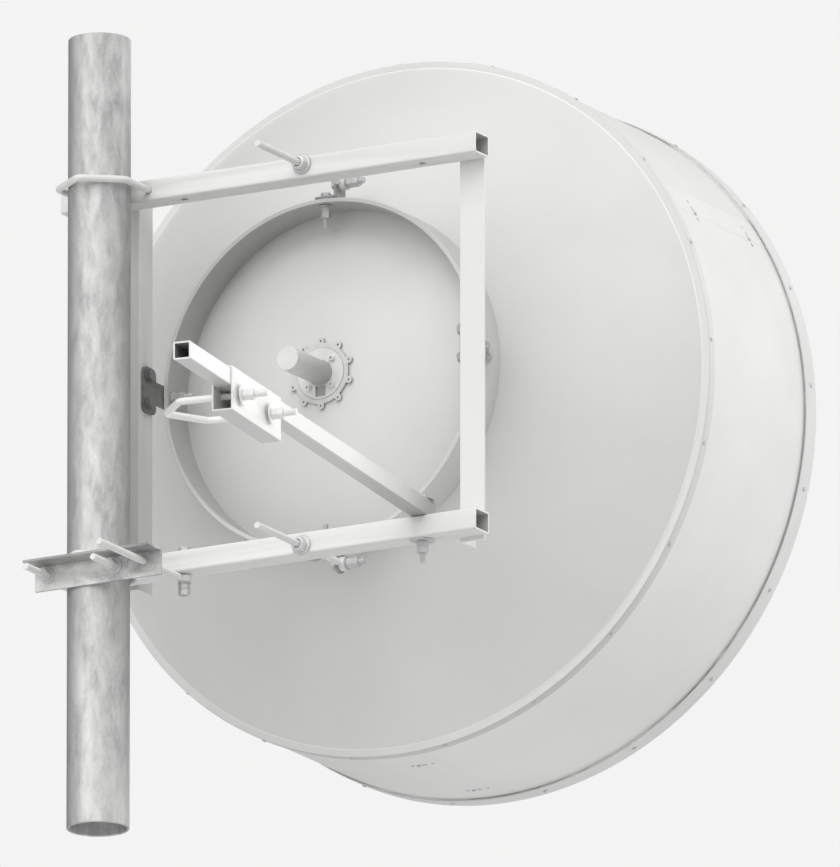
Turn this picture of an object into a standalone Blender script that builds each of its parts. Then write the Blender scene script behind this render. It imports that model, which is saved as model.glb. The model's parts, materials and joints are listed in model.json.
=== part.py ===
"""Shrouded microwave dish on a steel pole, with its adjustable mount and sway strut.

The origin is on the pole's axis at its lower end. +Z is up, +Y is the way the dish
looks, and +X runs from the pole across the back of the dish. All sizes are in metres.
"""

import math

import bmesh
import bpy
from mathutils import Matrix, Vector

X, Y, Z = Vector((1, 0, 0)), Vector((0, 1, 0)), Vector((0, 0, 1))
GAP = 0.0003  # left between pieces that touch

# Pole
POLE_R = 0.05715
POLE_WALL = 0.005
POLE_LENGTH = 1.480

# Where the dish's axis runs, and the axis that it tips about
DISH_X = 0.356
DISH_Z = 0.850
TILT_Y = 0.2063

# Frame behind the dish: two square tubes joined by two upright angles
TUBE_DEPTH = 0.050
TUBE_HEIGHT = 0.040
TUBE_WALL = 0.003
TUBE_Y = POLE_R + 0.00035 + TUBE_DEPTH / 2
TUBE_RISE = 0.3525  # from the dish's axis to a tube's axis
TUBE_LEFT = -0.114
TUBE_RIGHT = 0.751
ANGLE_LEG = 0.050
ANGLE_THICK = 0.005
ANGLE_HALF = 0.3795
ANGLE_REACH = 0.3348  # from the dish's axis to an upright's side leg
ANGLE_Y = TUBE_Y + TUBE_DEPTH / 2 + GAP

# Dish
VERTEX_Y = 0.1903
RIM_Y = 0.4688
RIM_R = 0.6500
BOWL_R = 0.6370  # where the bowl meets the flat of the rim
BOWL_HOLE_R = 0.0260
FOCAL = BOWL_R**2 / (4 * (RIM_Y - VERTEX_Y))
SKIN = 0.003
LIP_DEPTH = 0.0215
SHROUD_R = 0.6470
SHROUD_SHEET = 0.002
SHROUD_FRONT_Y = 0.8560
LINING_THICK = 0.015
FRONT_Y = 0.8653
BAND_DEPTH = 0.037
RADOME_SHEET = 0.002
RADOME_BULGE = 0.022
DISH_STEPS = 48

# Mounting ring on the back of the bowl
RING_R = 0.3287
RING_WALL = 0.0084
RING_Y = 0.1870

# Feed
HUB_Y = 0.1871
HUB_THICK = 0.0045
HUB_BASE_R = 0.0570
HUB_LOBES = 10
LOBE_R = 0.0065
LOBE_CENTRE_R = 0.0610
FEED_DISC_R = 0.0480
FEED_DISC_Y = 0.1857
KEYWAY_Y = 0.1890
BOSS_R = 0.0227
BOSS_Y = 0.0643
GUIDE_R = 0.0140
CONE_R = 0.0480
CONE_Y = 0.4900
CONE_LENGTH = 0.0500
SPLASH_R = 0.0520
FEED_SCREW_CIRCLE = 0.0350

# Rods and bolts
ROD_R = 0.0065  # the V-bolts and the adjusting rods
SHANK_R = 0.006
RING_SHANK_R = 0.005  # the bolts through the ring
RING_HEAD_R = 0.0094
RING_HOLE_R = 0.0056
HEAD_R = 0.011  # across the corners
HEAD_HEIGHT = 0.0075
WASHER_R = 0.0125
WASHER_THICK = 0.0025
NUT_HEIGHT = 0.010
DOUBLE_NUT = 0.0215  # a nut and its lock nut
BOLT_HOLE_R = 0.0071
ROD_HOLE_R = 0.0085
NUT_BORE_R = 0.0082
EYE_R = 0.0130
EYE_THICK = 0.0120
EYE_BORE_R = 0.0064
ROD_X = 0.0348  # from the dish's axis to an elevation rod
ROD_RISE = 0.3575
EAR_X = 0.0258  # from the dish's axis to the face of a rod bracket's ear
EYE_SHIFT = 0.0025  # an elevation rod's eye is off its axis, clear of the ear
ROD_END_Y = -0.1067
BRACKET_FOOT = 0.004

# V-bolts round a pole or a tower member
VBOLT_HALF = 0.070
VBOLT_DEPTH = 0.053
VBOLT_BEND_R = 0.012
VBOLT_APEX = (POLE_R + ROD_R + GAP) * math.hypot(VBOLT_HALF, VBOLT_DEPTH) / VBOLT_HALF
VBOLT_LEG = 0.170

# Clamp on the pole that holds the end of the azimuth rod
CLAMP_TOP_Z = DISH_Z - 0.3592
CLAMP_LEFT = -0.097
CLAMP_RIGHT = 0.166
CLAMP_BOLT_Z = DISH_Z - 0.3820
AZIMUTH_X = 0.1315
AZIMUTH_ROD_Z = DISH_Z - 0.3810
AZIMUTH_ROD_END_Y = -0.2267

# Sway strut, which turns on an upright bolt through the lower tube
STRUT_X = 0.6277
STRUT_SWING = math.radians(8.2)
STRUT_SIDE = 0.033
STRUT_WALL = 0.003
STRUT_LENGTH = 1.199
STRUT_OVERHANG = 0.022
STRUT_BOTTOM_Z = DISH_Z - TUBE_RISE + TUBE_HEIGHT / 2 + GAP
SLEEVE_CENTRE = 0.865  # from the strut's bolt to the middle of its clamp
SLEEVE_LENGTH = 0.235
SLEEVE_WALL = 0.003
SLEEVE_DROP = 0.0785
SLEEVE_BOLT_SHIFT = 0.010
SLEEVE_BOLT_DROP = 0.0103  # from the strut's underside to the V-bolt's axis


# --- Scene, materials and placing ---


def clear_scene():
    for obj in list(bpy.data.objects):
        bpy.data.objects.remove(obj, do_unlink=True)


def new_collection(name):
    collection = bpy.data.collections.new(name)
    bpy.context.scene.collection.children.link(collection)
    return collection


def new_material(name, colour, roughness, metallic):
    material = bpy.data.materials.new(name)
    material.use_nodes = True
    shader = material.node_tree.nodes["Principled BSDF"]
    shader.inputs["Base Color"].default_value = (*colour, 1)
    shader.inputs["Roughness"].default_value = roughness
    shader.inputs["Metallic"].default_value = metallic
    return material


clear_scene()
PARTS = new_collection("satellite_dish")
CUTTERS = new_collection("cutters")
PAINTED = new_material("painted_white", (0.80, 0.80, 0.79), 0.45, 0.0)
GALVANISED = new_material("galvanised", (0.47, 0.48, 0.48), 0.50, 0.8)
ZINC = new_material("zinc_plated", (0.78, 0.78, 0.77), 0.35, 0.6)
DARK_STEEL = new_material("dark_steel", (0.17, 0.17, 0.17), 0.55, 0.6)
RADOME_CLOTH = new_material("radome_sheet", (0.82, 0.82, 0.80), 0.60, 0.0)
FOAM = new_material("absorber_foam", (0.04, 0.04, 0.045), 0.95, 0.0)
ALLOY = new_material("cast_alloy", (0.72, 0.72, 0.72), 0.40, 0.5)
DIELECTRIC = new_material("dielectric", (0.85, 0.84, 0.80), 0.40, 0.0)


def towards(axis):
    """The turn that takes +Z to this axis."""
    return Z.rotation_difference(Vector(axis)).to_matrix().to_4x4()


def placed(origin, axis=Z):
    return Matrix.Translation(Vector(origin)) @ towards(axis)


def plane(origin, across, along):
    """Local X goes across, local Y goes along, and an outline is extruded both ways from it."""
    normal = across.cross(along)
    turn = Matrix((across, along, normal)).transposed().to_4x4()
    return Matrix.Translation(Vector(origin)) @ turn


def add_object(name, mesh, matrix, material, collection=None):
    obj = bpy.data.objects.new(name, mesh)
    (collection or PARTS).objects.link(obj)
    obj.matrix_world = matrix
    if material:
        mesh.materials.append(material)
    return obj


def mesh_from(bm, name):
    bmesh.ops.recalc_face_normals(bm, faces=bm.faces)
    mesh = bpy.data.meshes.new(name)
    bm.to_mesh(mesh)
    bm.free()
    mesh.shade_smooth()
    mesh.set_sharp_from_angle(angle=math.radians(35))
    return mesh


def as_helper(obj):
    """Keeps a cutter, or a shape that is joined to another, out of the part."""
    for collection in list(obj.users_collection):
        collection.objects.unlink(obj)
    CUTTERS.objects.link(obj)
    obj.hide_render = True
    obj.display_type = "WIRE"
    return obj


# --- Shapes ---


def turned(name, profile, matrix, material, steps=24):
    """A closed profile of (radius, height), turned about local Z."""
    mesh = bpy.data.meshes.new(name)
    points = [(radius, 0, height) for radius, height in profile]
    count = len(points)
    mesh.from_pydata(points, [(i, (i + 1) % count) for i in range(count)], [])
    obj = add_object(name, mesh, matrix, material)
    screw = obj.modifiers.new("turn", "SCREW")
    screw.steps = steps
    screw.render_steps = steps
    screw.use_merge_vertices = True
    screw.merge_threshold = 0.00001
    return obj


def solid_of_revolution(name, outer, matrix, material, steps=24):
    """A solid turned piece: its outline of (radius, height), top to bottom, closed on the axis."""
    mesh = bpy.data.meshes.new(name)
    points = [(0, 0, outer[0][1])]
    points += [(radius, 0, height) for radius, height in outer]
    points += [(0, 0, outer[-1][1])]
    mesh.from_pydata(points, [(i, i + 1) for i in range(len(points) - 1)], [])
    obj = add_object(name, mesh, matrix, material)
    screw = obj.modifiers.new("turn", "SCREW")
    screw.steps = steps
    screw.render_steps = steps
    screw.use_merge_vertices = True
    screw.merge_threshold = 0.00001
    return obj


def cylinder(name, radius, length, centre, axis, steps=16):
    """A plain round bar, centred, for cutting or joining."""
    bm = bmesh.new()
    bmesh.ops.create_cone(
        bm, cap_ends=True, segments=steps, radius1=radius, radius2=radius, depth=length
    )
    return as_helper(add_object(name, mesh_from(bm, name), placed(centre, axis), None))


def block(name, low, high, matrix=None):
    """A box between two corners, for cutting or joining."""
    low, high = Vector(low), Vector(high)
    bm = bmesh.new()
    bmesh.ops.create_cube(bm, size=1)
    bmesh.ops.scale(bm, vec=high - low, verts=bm.verts)
    bmesh.ops.translate(bm, vec=(low + high) / 2, verts=bm.verts)
    return as_helper(add_object(name, mesh_from(bm, name), matrix or Matrix(), None))


def cut(obj, cutter):
    modifier = obj.modifiers.new(cutter.name, "BOOLEAN")
    modifier.operation = "DIFFERENCE"
    modifier.object = cutter


def join(obj, other):
    modifier = obj.modifiers.new(other.name, "BOOLEAN")
    modifier.operation = "UNION"
    modifier.object = other


def drill(obj, centre, axis, radius, length):
    name = f"{obj.name}_hole_{len(obj.modifiers)}"
    cut(obj, cylinder(name, radius, length, centre, axis, steps=12))


def outline_solid(name, loops, thickness, matrix, material):
    """A flat outline with its holes, of this thickness, as a mesh."""
    curve = bpy.data.curves.new(name, "CURVE")
    curve.dimensions = "2D"
    curve.fill_mode = "BOTH"
    curve.extrude = thickness / 2
    for loop in loops:
        spline = curve.splines.new("POLY")
        spline.points.add(len(loop) - 1)
        for point, (across, along) in zip(spline.points, loop):
            point.co = (across, along, 0, 1)
        spline.use_cyclic_u = True
    flat = bpy.data.objects.new(name + "_outline", curve)
    CUTTERS.objects.link(flat)
    graph = bpy.context.evaluated_depsgraph_get()
    bm = bmesh.new()
    mesh = bpy.data.meshes.new_from_object(flat.evaluated_get(graph))
    bm.from_mesh(mesh)
    bmesh.ops.remove_doubles(bm, verts=bm.verts, dist=0.00001)
    bpy.data.objects.remove(flat)
    return add_object(name, mesh_from(bm, name), matrix, material)


def circle(radius, centre=(0, 0), steps=12):
    turn = 2 * math.pi / steps
    return [
        (centre[0] + radius * math.cos(i * turn), centre[1] + radius * math.sin(i * turn))
        for i in range(steps)
    ]


def arc(centre, radius, start, end, steps):
    """Points on an arc, ends included, with angles in degrees."""
    points = []
    for i in range(steps + 1):
        angle = math.radians(start + (end - start) * i / steps)
        x = centre[0] + radius * math.cos(angle)
        points.append((x, centre[1] + radius * math.sin(angle)))
    return points


def rounded_rectangle(width, height, radius, steps=2):
    points = []
    for quarter, (side, up) in enumerate(((1, 1), (-1, 1), (-1, -1), (1, -1))):
        centre = (side * (width / 2 - radius), up * (height / 2 - radius))
        points += arc(centre, radius, 90 * quarter, 90 * quarter + 90, steps)
    return points


def square_tube(name, width, height, wall, length, matrix, material):
    outer = rounded_rectangle(width, height, 0.004)
    inner = rounded_rectangle(width - 2 * wall, height - 2 * wall, 0.0015)
    return outline_solid(name, [outer, inner], length, matrix, material)


def lofted(name, sections, matrix, material, bored=False):
    """A loft through twelve-point sections of (height, radius, "round" or "hex")."""
    bm = bmesh.new()
    rings = []
    for height, radius, kind in sections:
        ring = []
        for i in range(12):
            flat = math.cos(math.pi / 6) if kind == "hex" and i % 2 else 1
            angle = math.pi * i / 6
            x, y = radius * flat * math.cos(angle), radius * flat * math.sin(angle)
            ring.append(bm.verts.new((x, y, height)))
        rings.append(ring)
    pairs = list(zip(rings, rings[1:]))
    if bored:
        pairs.append((rings[-1], rings[0]))
    else:
        bm.faces.new(rings[0])
        bm.faces.new(rings[-1])
    for low, high in pairs:
        for i in range(12):
            j = (i + 1) % 12
            bm.faces.new((low[i], low[j], high[j], high[i]))
    return add_object(name, mesh_from(bm, name), matrix, material)


def bolt(
    name, seat, axis, grip, material, tail=0.016, nut=0.022, washers=WASHER_R, small=False
):
    """Head, washer, shank, washer, nut and tail. The head's washer rests on the seat, and the
    shank goes along the axis through this grip."""
    bottom = grip + GAP
    shank, head = (RING_SHANK_R, RING_HEAD_R) if small else (SHANK_R, HEAD_R)
    sections = [
        (-GAP - WASHER_THICK - HEAD_HEIGHT, head, "hex"),
        (-GAP - WASHER_THICK, head, "hex"),
        (-GAP - WASHER_THICK, washers, "round"),
        (-GAP, washers, "round"),
        (-GAP, shank, "round"),
        (bottom, shank, "round"),
        (bottom, washers, "round"),
        (bottom + WASHER_THICK, washers, "round"),
        (bottom + WASHER_THICK, head, "hex"),
        (bottom + WASHER_THICK + nut, head, "hex"),
        (bottom + WASHER_THICK + nut, shank, "round"),
        (bottom + WASHER_THICK + nut + tail, shank, "round"),
    ]
    return lofted(name, sections, placed(seat, axis), material)


def washered_nut(name, seat, axis, material, washer=0.0145, nut=DOUBLE_NUT, spacer=0):
    """A nut on its washer, for a V-bolt's leg. The washer rests on the seat, or on a short
    spacer, and the nut stands along the axis."""
    bore = ROD_R + GAP
    low = GAP + spacer
    start = low + WASHER_THICK
    sections = [
        (GAP, bore, "round"),
        (GAP, 0.0090, "round"),
        (low, 0.0090, "round"),
        (low, washer, "round"),
        (start, washer, "round"),
        (start, HEAD_R, "hex"),
        (start + nut, HEAD_R, "hex"),
        (start + nut, bore, "round"),
    ]
    if not spacer:
        del sections[1:3]
    return lofted(name, sections, placed(seat, axis), material, bored=True)


def rod_nut(name, seat, axis, material):
    """A large nut and washer, bored with room for a rod that swings."""
    washer, nut, thick = 0.0190, 0.0145, 0.0040
    top = GAP + thick + 0.0145
    sections = [
        (GAP, NUT_BORE_R, "round"),
        (GAP, washer, "round"),
        (GAP + thick, washer - 0.001, "round"),
        (GAP + thick, nut, "hex"),
        (top, nut, "hex"),
        (top, NUT_BORE_R, "round"),
    ]
    return lofted(name, sections, placed(seat, axis), material, bored=True)


def rounded_path(points, radius, steps=3):
    """The corners of a path of straight runs, each made an arc of this radius."""
    points = [Vector(point) for point in points]
    path = [points[0]]
    for before, corner, after in zip(points, points[1:], points[2:]):
        back, ahead = (before - corner).normalized(), (after - corner).normalized()
        half = back.angle(ahead) / 2
        run = radius / math.tan(half)
        centre = corner + (back + ahead).normalized() * radius / math.sin(half)
        start, end = corner + back * run - centre, corner + ahead * run - centre
        for i in range(steps + 1):
            path.append(centre + start.slerp(end, i / steps).normalized() * radius)
    return path + [points[-1]]


def rod_through(name, points, radius, matrix, material):
    """A round rod along a path."""
    curve = bpy.data.curves.new(name, "CURVE")
    curve.dimensions = "3D"
    curve.bevel_depth = radius
    curve.bevel_resolution = 3
    curve.use_fill_caps = True
    spline = curve.splines.new("POLY")
    spline.points.add(len(points) - 1)
    for point, place in zip(spline.points, points):
        point.co = (*place, 1)
    obj = bpy.data.objects.new(name, curve)
    PARTS.objects.link(obj)
    obj.matrix_world = matrix
    curve.materials.append(material)
    return obj


def v_bolt(name, matrix, material):
    """In local X and Y, round something centred on the origin: its point is at -Y, and its
    legs end at +Y."""
    bend = VBOLT_DEPTH - VBOLT_APEX
    corners = [
        (-VBOLT_HALF, bend + VBOLT_LEG, 0),
        (-VBOLT_HALF, bend, 0),
        (0, -VBOLT_APEX, 0),
        (VBOLT_HALF, bend, 0),
        (VBOLT_HALF, bend + VBOLT_LEG, 0),
    ]
    return rod_through(name, rounded_path(corners, VBOLT_BEND_R), ROD_R, matrix, material)


def eye_rod(name, eye, along, pin_axis, length, material, shift=0, neck=0.005):
    """A threaded rod whose flat eye turns on a pin, with a narrower neck beside the eye."""
    sections = [
        (EYE_R - 0.003, neck, "round"),
        (EYE_R + 0.006, neck, "round"),
        (EYE_R + 0.006, ROD_R, "round"),
        (length, ROD_R, "round"),
    ]
    shaft = lofted(name, sections, placed(eye, along), material)
    ring = turned(
        name + "_eye",
        [
            (EYE_BORE_R, EYE_THICK / 2),
            (EYE_R, EYE_THICK / 2),
            (EYE_R, -EYE_THICK / 2),
            (EYE_BORE_R, -EYE_THICK / 2),
        ],
        placed(Vector(eye) + shift * pin_axis, pin_axis),
        None,
        steps=16,
    )
    join(shaft, as_helper(ring))
    return shaft


# --- Pole, and the clamp that is fixed to it ---


def make_pole():
    inner = POLE_R - POLE_WALL
    profile = [(inner, POLE_LENGTH), (POLE_R, POLE_LENGTH), (POLE_R, 0), (inner, 0)]
    turned("mounting_pole", profile, Matrix(), GALVANISED, steps=36)


def make_pole_clamp():
    back = -POLE_R - 0.00035
    face = back - ANGLE_THICK
    outline = [
        (back, 0),
        (back, -ANGLE_LEG),
        (face, -ANGLE_LEG),
        (face, -ANGLE_THICK),
        (back - ANGLE_LEG, -ANGLE_THICK),
        (back - ANGLE_LEG, 0),
    ]
    middle = (CLAMP_LEFT + CLAMP_RIGHT) / 2
    length = CLAMP_RIGHT - CLAMP_LEFT
    where = plane((middle, 0, CLAMP_TOP_Z), Y, Z)
    angle = outline_solid("pole_clamp_angle", [outline], length, where, GALVANISED)
    for side, name in ((-1, "left"), (1, "right")):
        leg = (side * VBOLT_HALF, face, CLAMP_BOLT_Z)
        drill(angle, leg, Y, BOLT_HOLE_R, 0.02)
        washered_nut(f"pole_clamp_nut_{name}", leg, -Y, ZINC)
    drill(angle, (AZIMUTH_X, face, AZIMUTH_ROD_Z), Y, ROD_HOLE_R + 0.0005, 0.02)
    turned_round = placed((0, 0, CLAMP_BOLT_Z)) @ Matrix.Rotation(math.pi, 4, "Z")
    v_bolt("pole_clamp_v_bolt", turned_round, ZINC)
    rod_nut("azimuth_rod_nut", (AZIMUTH_X, back, AZIMUTH_ROD_Z), Y, ZINC)


# --- Frame, which swings round the pole ---


def make_tube(name, up):
    height = DISH_Z + up * TUBE_RISE
    middle = (TUBE_LEFT + TUBE_RIGHT) / 2
    where = plane((middle, TUBE_Y, height), Y, Z)
    length = TUBE_RIGHT - TUBE_LEFT
    tube = square_tube(
        name, TUBE_DEPTH, TUBE_HEIGHT, TUBE_WALL, length, where, PAINTED
    )
    through = 2 * TUBE_DEPTH
    for side in (-1, 1):
        drill(tube, (side * VBOLT_HALF, TUBE_Y, height), Y, BOLT_HOLE_R, through)
    rod = (DISH_X + ROD_X, TUBE_Y, DISH_Z + up * ROD_RISE)
    drill(tube, rod, Y, ROD_HOLE_R, through)
    for x in (AZIMUTH_X, STRUT_X):
        drill(tube, (x, TUBE_Y, height), Z, BOLT_HOLE_R, through)


def make_upright(name, side):
    """An angle whose front leg points away from the dish's axis, and whose side leg points to
    the dish."""
    outline = [
        (0, 0),
        (ANGLE_LEG, 0),
        (ANGLE_LEG, ANGLE_THICK),
        (ANGLE_THICK, ANGLE_THICK),
        (ANGLE_THICK, ANGLE_LEG),
        (0, ANGLE_LEG),
    ]
    outline = [(side * across, along) for across, along in outline]
    corner = (DISH_X + side * ANGLE_REACH, ANGLE_Y, DISH_Z)
    upright = outline_solid(
        name, [outline], 2 * ANGLE_HALF, plane(corner, X, Y), PAINTED
    )
    for place in plate_bolt_places(side):
        drill(upright, place, X, BOLT_HOLE_R, 0.03)


def plate_bolt_places(side):
    """Where the two bolts cross the side leg of an upright."""
    x = DISH_X + side * (ANGLE_REACH + ANGLE_THICK / 2)
    y = ANGLE_Y + ANGLE_LEG / 2
    return [(x, y, DISH_Z + rise) for rise in (0.026, -0.026)]


def make_pivot_plate(name, side):
    """A T-shaped plate from an upright to the ring's side bolt, which the dish tips on."""
    thick = ANGLE_REACH - RING_R - 3 * GAP
    x = DISH_X + side * (ANGLE_REACH - GAP - thick / 2)
    left = ANGLE_Y - TILT_Y + 0.0085
    right = -0.045
    stem, half, corner = 0.021, 0.043, 0.012
    outline = arc((0, 0), stem, -90, 90, 8)
    outline += [(right, stem)]
    outline += arc((right - corner, half - corner), corner, 0, 90, 3)
    outline += arc((left + corner, half - corner), corner, 90, 180, 3)
    outline += arc((left + corner, corner - half), corner, 180, 270, 3)
    outline += arc((right - corner, corner - half), corner, 270, 360, 3)
    outline += [(right, -stem)]
    holes = [circle(RING_HOLE_R)]
    for _, y, z in plate_bolt_places(side):
        holes.append(circle(BOLT_HOLE_R, (y - TILT_Y, z - DISH_Z)))
    where = plane((x, TILT_Y, DISH_Z), Y, Z)
    outline_solid(name, [outline] + holes, thick, where, DARK_STEEL)


def make_plate_bolts(side, word):
    grip = ANGLE_REACH + ANGLE_THICK - RING_R - 2 * GAP
    for (_, y, z), level in zip(plate_bolt_places(side), ("upper", "lower")):
        seat = (DISH_X + side * (RING_R + 2 * GAP), y, z)
        name = f"{word}_plate_bolt_{level}"
        bolt(name, seat, side * X, grip, DARK_STEEL, tail=0.004, nut=NUT_HEIGHT)


def make_frame_bolts():
    rear = TUBE_Y + TUBE_DEPTH / 2
    front = TUBE_Y - TUBE_DEPTH / 2
    for up, level in ((1, "upper"), (-1, "lower")):
        height = DISH_Z + up * TUBE_RISE
        v_bolt(f"{level}_v_bolt", placed((0, 0, height)), PAINTED)
        for side, word in ((-1, "left"), (1, "right")):
            seat = (side * VBOLT_HALF, rear, height)
            washered_nut(f"{level}_v_bolt_nut_{word}", seat, Y, ZINC)
        rod = (DISH_X + ROD_X, DISH_Z + up * ROD_RISE)
        for y, axis, word in ((front, -Y, "rear"), (rear, Y, "front")):
            rod_nut(f"{level}_rod_nut_{word}", (rod[0], y, rod[1]), axis, ZINC)


def make_lower_tube_bolts():
    """The upright bolts that the azimuth rod and the sway strut turn on."""
    top = DISH_Z - TUBE_RISE + TUBE_HEIGHT / 2
    bottom = top - TUBE_HEIGHT
    grip = top - (AZIMUTH_ROD_Z - EYE_THICK / 2) + GAP
    spacer = 0.0020
    azimuth_bolt = bolt(
        "azimuth_eye_bolt", (AZIMUTH_X, TUBE_Y, top), -Z, grip, ZINC, tail=0.002
    )
    collar = bottom - GAP - spacer / 2
    join(azimuth_bolt, cylinder("collar", 0.010, spacer, (AZIMUTH_X, TUBE_Y, collar), Z))
    seat = (STRUT_X, TUBE_Y, STRUT_BOTTOM_Z + STRUT_SIDE)
    grip = STRUT_BOTTOM_Z + STRUT_SIDE - bottom
    bolt("strut_pivot_bolt", seat, -Z, grip, ZINC, tail=0.017, washers=0.022)


# --- Dish, which tips about the bolts at the sides of its ring ---


def bowl_y(radius):
    """How far along +Y the bowl's back is, at this radius."""
    return VERTEX_Y + radius**2 / (4 * FOCAL)


DISH_AXIS = placed((DISH_X, 0, DISH_Z), Y)


def make_reflector():
    ring_inside = RING_R - RING_WALL
    radii = [BOWL_HOLE_R + (ring_inside - BOWL_HOLE_R) * i / 3 for i in range(4)]
    radii += [RING_R + (BOWL_R - RING_R) * i / 3 for i in range(4)]
    lip = RIM_Y + LIP_DEPTH
    inside = RIM_R - SKIN + GAP
    profile = [(inside, lip), (RIM_R, lip), (RIM_R, RIM_Y)]
    profile += [(radius, bowl_y(radius)) for radius in reversed(radii)]
    profile += [(radius, bowl_y(radius) + SKIN) for radius in radii]
    profile += [(inside, RIM_Y + SKIN)]
    turned("reflector", profile, DISH_AXIS, PAINTED, DISH_STEPS)


def make_mounting_ring():
    inner = RING_R - RING_WALL
    profile = [
        (inner, bowl_y(inner) - 2 * GAP),
        (RING_R, bowl_y(RING_R) - 2 * GAP),
        (RING_R, RING_Y),
        (inner, RING_Y),
    ]
    ring = turned("mounting_ring", profile, DISH_AXIS, PAINTED, DISH_STEPS)
    centre = Vector((DISH_X, TILT_Y, DISH_Z))
    for axis in (X, -X, Z, -Z):
        drill(ring, centre + axis * RING_R, axis, RING_HOLE_R, 0.04)


def make_shroud():
    back = RIM_Y + SKIN + GAP
    inner = SHROUD_R - SHROUD_SHEET
    profile = [
        (inner, SHROUD_FRONT_Y),
        (SHROUD_R, SHROUD_FRONT_Y),
        (SHROUD_R, back),
        (inner, back),
    ]
    turned("shroud", profile, DISH_AXIS, PAINTED, DISH_STEPS)
    outer = inner - GAP
    lining = [
        (outer - LINING_THICK, SHROUD_FRONT_Y - 0.020),
        (outer, SHROUD_FRONT_Y - 0.020),
        (outer, back + 0.004),
        (outer - LINING_THICK, back + 0.004),
    ]
    turned("absorber_lining", lining, DISH_AXIS, FOAM, DISH_STEPS)


def make_radome():
    """A shallow domed sheet whose skirt goes round the shroud, under the clamping band."""
    skirt = SHROUD_R + GAP
    outside = skirt + RADOME_SHEET
    back = FRONT_Y - BAND_DEPTH + 0.004
    face = FRONT_Y - 0.0035
    steps = range(1, 4)
    dome = [(SHROUD_R * i / 4, face + RADOME_BULGE * (1 - (i / 4) ** 2)) for i in steps]
    outline = list(dome)
    outline += [(outside, face), (outside, back), (skirt, back)]
    outline += [(skirt, face - RADOME_SHEET)]
    outline += [(radius, height - RADOME_SHEET) for radius, height in reversed(dome)]
    solid_of_revolution("radome", outline, DISH_AXIS, RADOME_CLOTH, DISH_STEPS)
    inner = outside + GAP
    band = [
        (inner, FRONT_Y),
        (inner + 0.002, FRONT_Y),
        (inner + 0.002, FRONT_Y - BAND_DEPTH),
        (inner, FRONT_Y - BAND_DEPTH),
    ]
    turned("radome_band", band, DISH_AXIS, PAINTED, DISH_STEPS)


def make_hub():
    """The lobed ring on the back of the bowl, and what the feed carries through it."""
    reach = (HUB_BASE_R**2 + LOBE_CENTRE_R**2 - LOBE_R**2) / (2 * HUB_BASE_R * LOBE_CENTRE_R)
    half = math.degrees(math.acos(reach))
    across = HUB_BASE_R * math.cos(math.radians(half)) - LOBE_CENTRE_R
    sweep = math.degrees(math.atan2(HUB_BASE_R * math.sin(math.radians(half)), across))
    outline = []
    pitch = 360 / HUB_LOBES
    for lobe in range(HUB_LOBES):
        middle = 90 + lobe * pitch
        turn = math.radians(middle)
        centre = (LOBE_CENTRE_R * math.cos(turn), LOBE_CENTRE_R * math.sin(turn))
        outline += arc(centre, LOBE_R, middle - sweep, middle + sweep, 4)
        outline += arc((0, 0), HUB_BASE_R, middle + half + 8, middle + pitch - half - 8, 1)
    bore = circle(FEED_DISC_R + 2 * GAP, steps=24)
    where = plane((DISH_X, HUB_Y + HUB_THICK / 2, DISH_Z), -X, Z)
    outline_solid("hub_ring", [outline, bore], HUB_THICK, where, ALLOY)


def make_feed():
    front = VERTEX_Y - GAP
    spigot = BOWL_HOLE_R - GAP
    outline = [
        (GUIDE_R + GAP, front + 0.012),
        (spigot, front + 0.012),
        (spigot, front),
        (FEED_DISC_R, front),
        (FEED_DISC_R, FEED_DISC_Y),
        (BOSS_R + 0.0018, FEED_DISC_Y),
        (BOSS_R + 0.0018, KEYWAY_Y),
        (BOSS_R, KEYWAY_Y),
        (BOSS_R, BOSS_Y + 0.001),
        (BOSS_R - 0.001, BOSS_Y),
        (0, BOSS_Y),
        (0, front - 0.002),
        (GUIDE_R + GAP, front - 0.002),
    ]
    adapter = turned("feed_adapter", outline, DISH_AXIS, ALLOY, steps=24)
    low = (DISH_X - 0.0100, FEED_DISC_Y - 0.001, DISH_Z - 0.0430)
    high = (DISH_X + 0.0110, KEYWAY_Y, DISH_Z - BOSS_R - 0.0008)
    cut(adapter, block("keyway", low, high))
    for i in range(4):
        turn = math.radians(45 + 90 * i)
        offset = FEED_SCREW_CIRCLE * Vector((math.cos(turn), 0, math.sin(turn)))
        seat = Vector((DISH_X, FEED_DISC_Y - GAP, DISH_Z)) + offset
        sections = [(0, 0.0062, "round"), (0.004, 0.0062, "round"), (0.0055, 0.0046, "round")]
        lofted(f"feed_screw_{i + 1}", sections, placed(seat, -Y), ZINC)
    make_feed_horn()


def make_feed_horn():
    """The waveguide in front of the bowl, its dielectric cone and the splash plate."""
    base = VERTEX_Y - 0.0015
    wall = 0.002
    guide = [
        (GUIDE_R - wall, CONE_Y),
        (GUIDE_R, CONE_Y),
        (GUIDE_R, base),
        (GUIDE_R - wall, base),
    ]
    turned("feed_waveguide", guide, DISH_AXIS, ALLOY, steps=24)
    top = CONE_Y + CONE_LENGTH
    plug = GUIDE_R - wall - GAP
    cone = [
        (CONE_R, top),
        (CONE_R, top - 0.006),
        (GUIDE_R + 0.002, CONE_Y + GAP),
        (plug, CONE_Y + GAP),
        (plug, CONE_Y - 0.020),
    ]
    solid_of_revolution("feed_cone", cone, DISH_AXIS, DIELECTRIC)
    plate = [
        (SPLASH_R - 0.002, top + GAP + 0.006),
        (SPLASH_R, top + GAP + 0.004),
        (SPLASH_R, top + GAP),
    ]
    solid_of_revolution("splash_plate", plate, DISH_AXIS, ALLOY)


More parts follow.
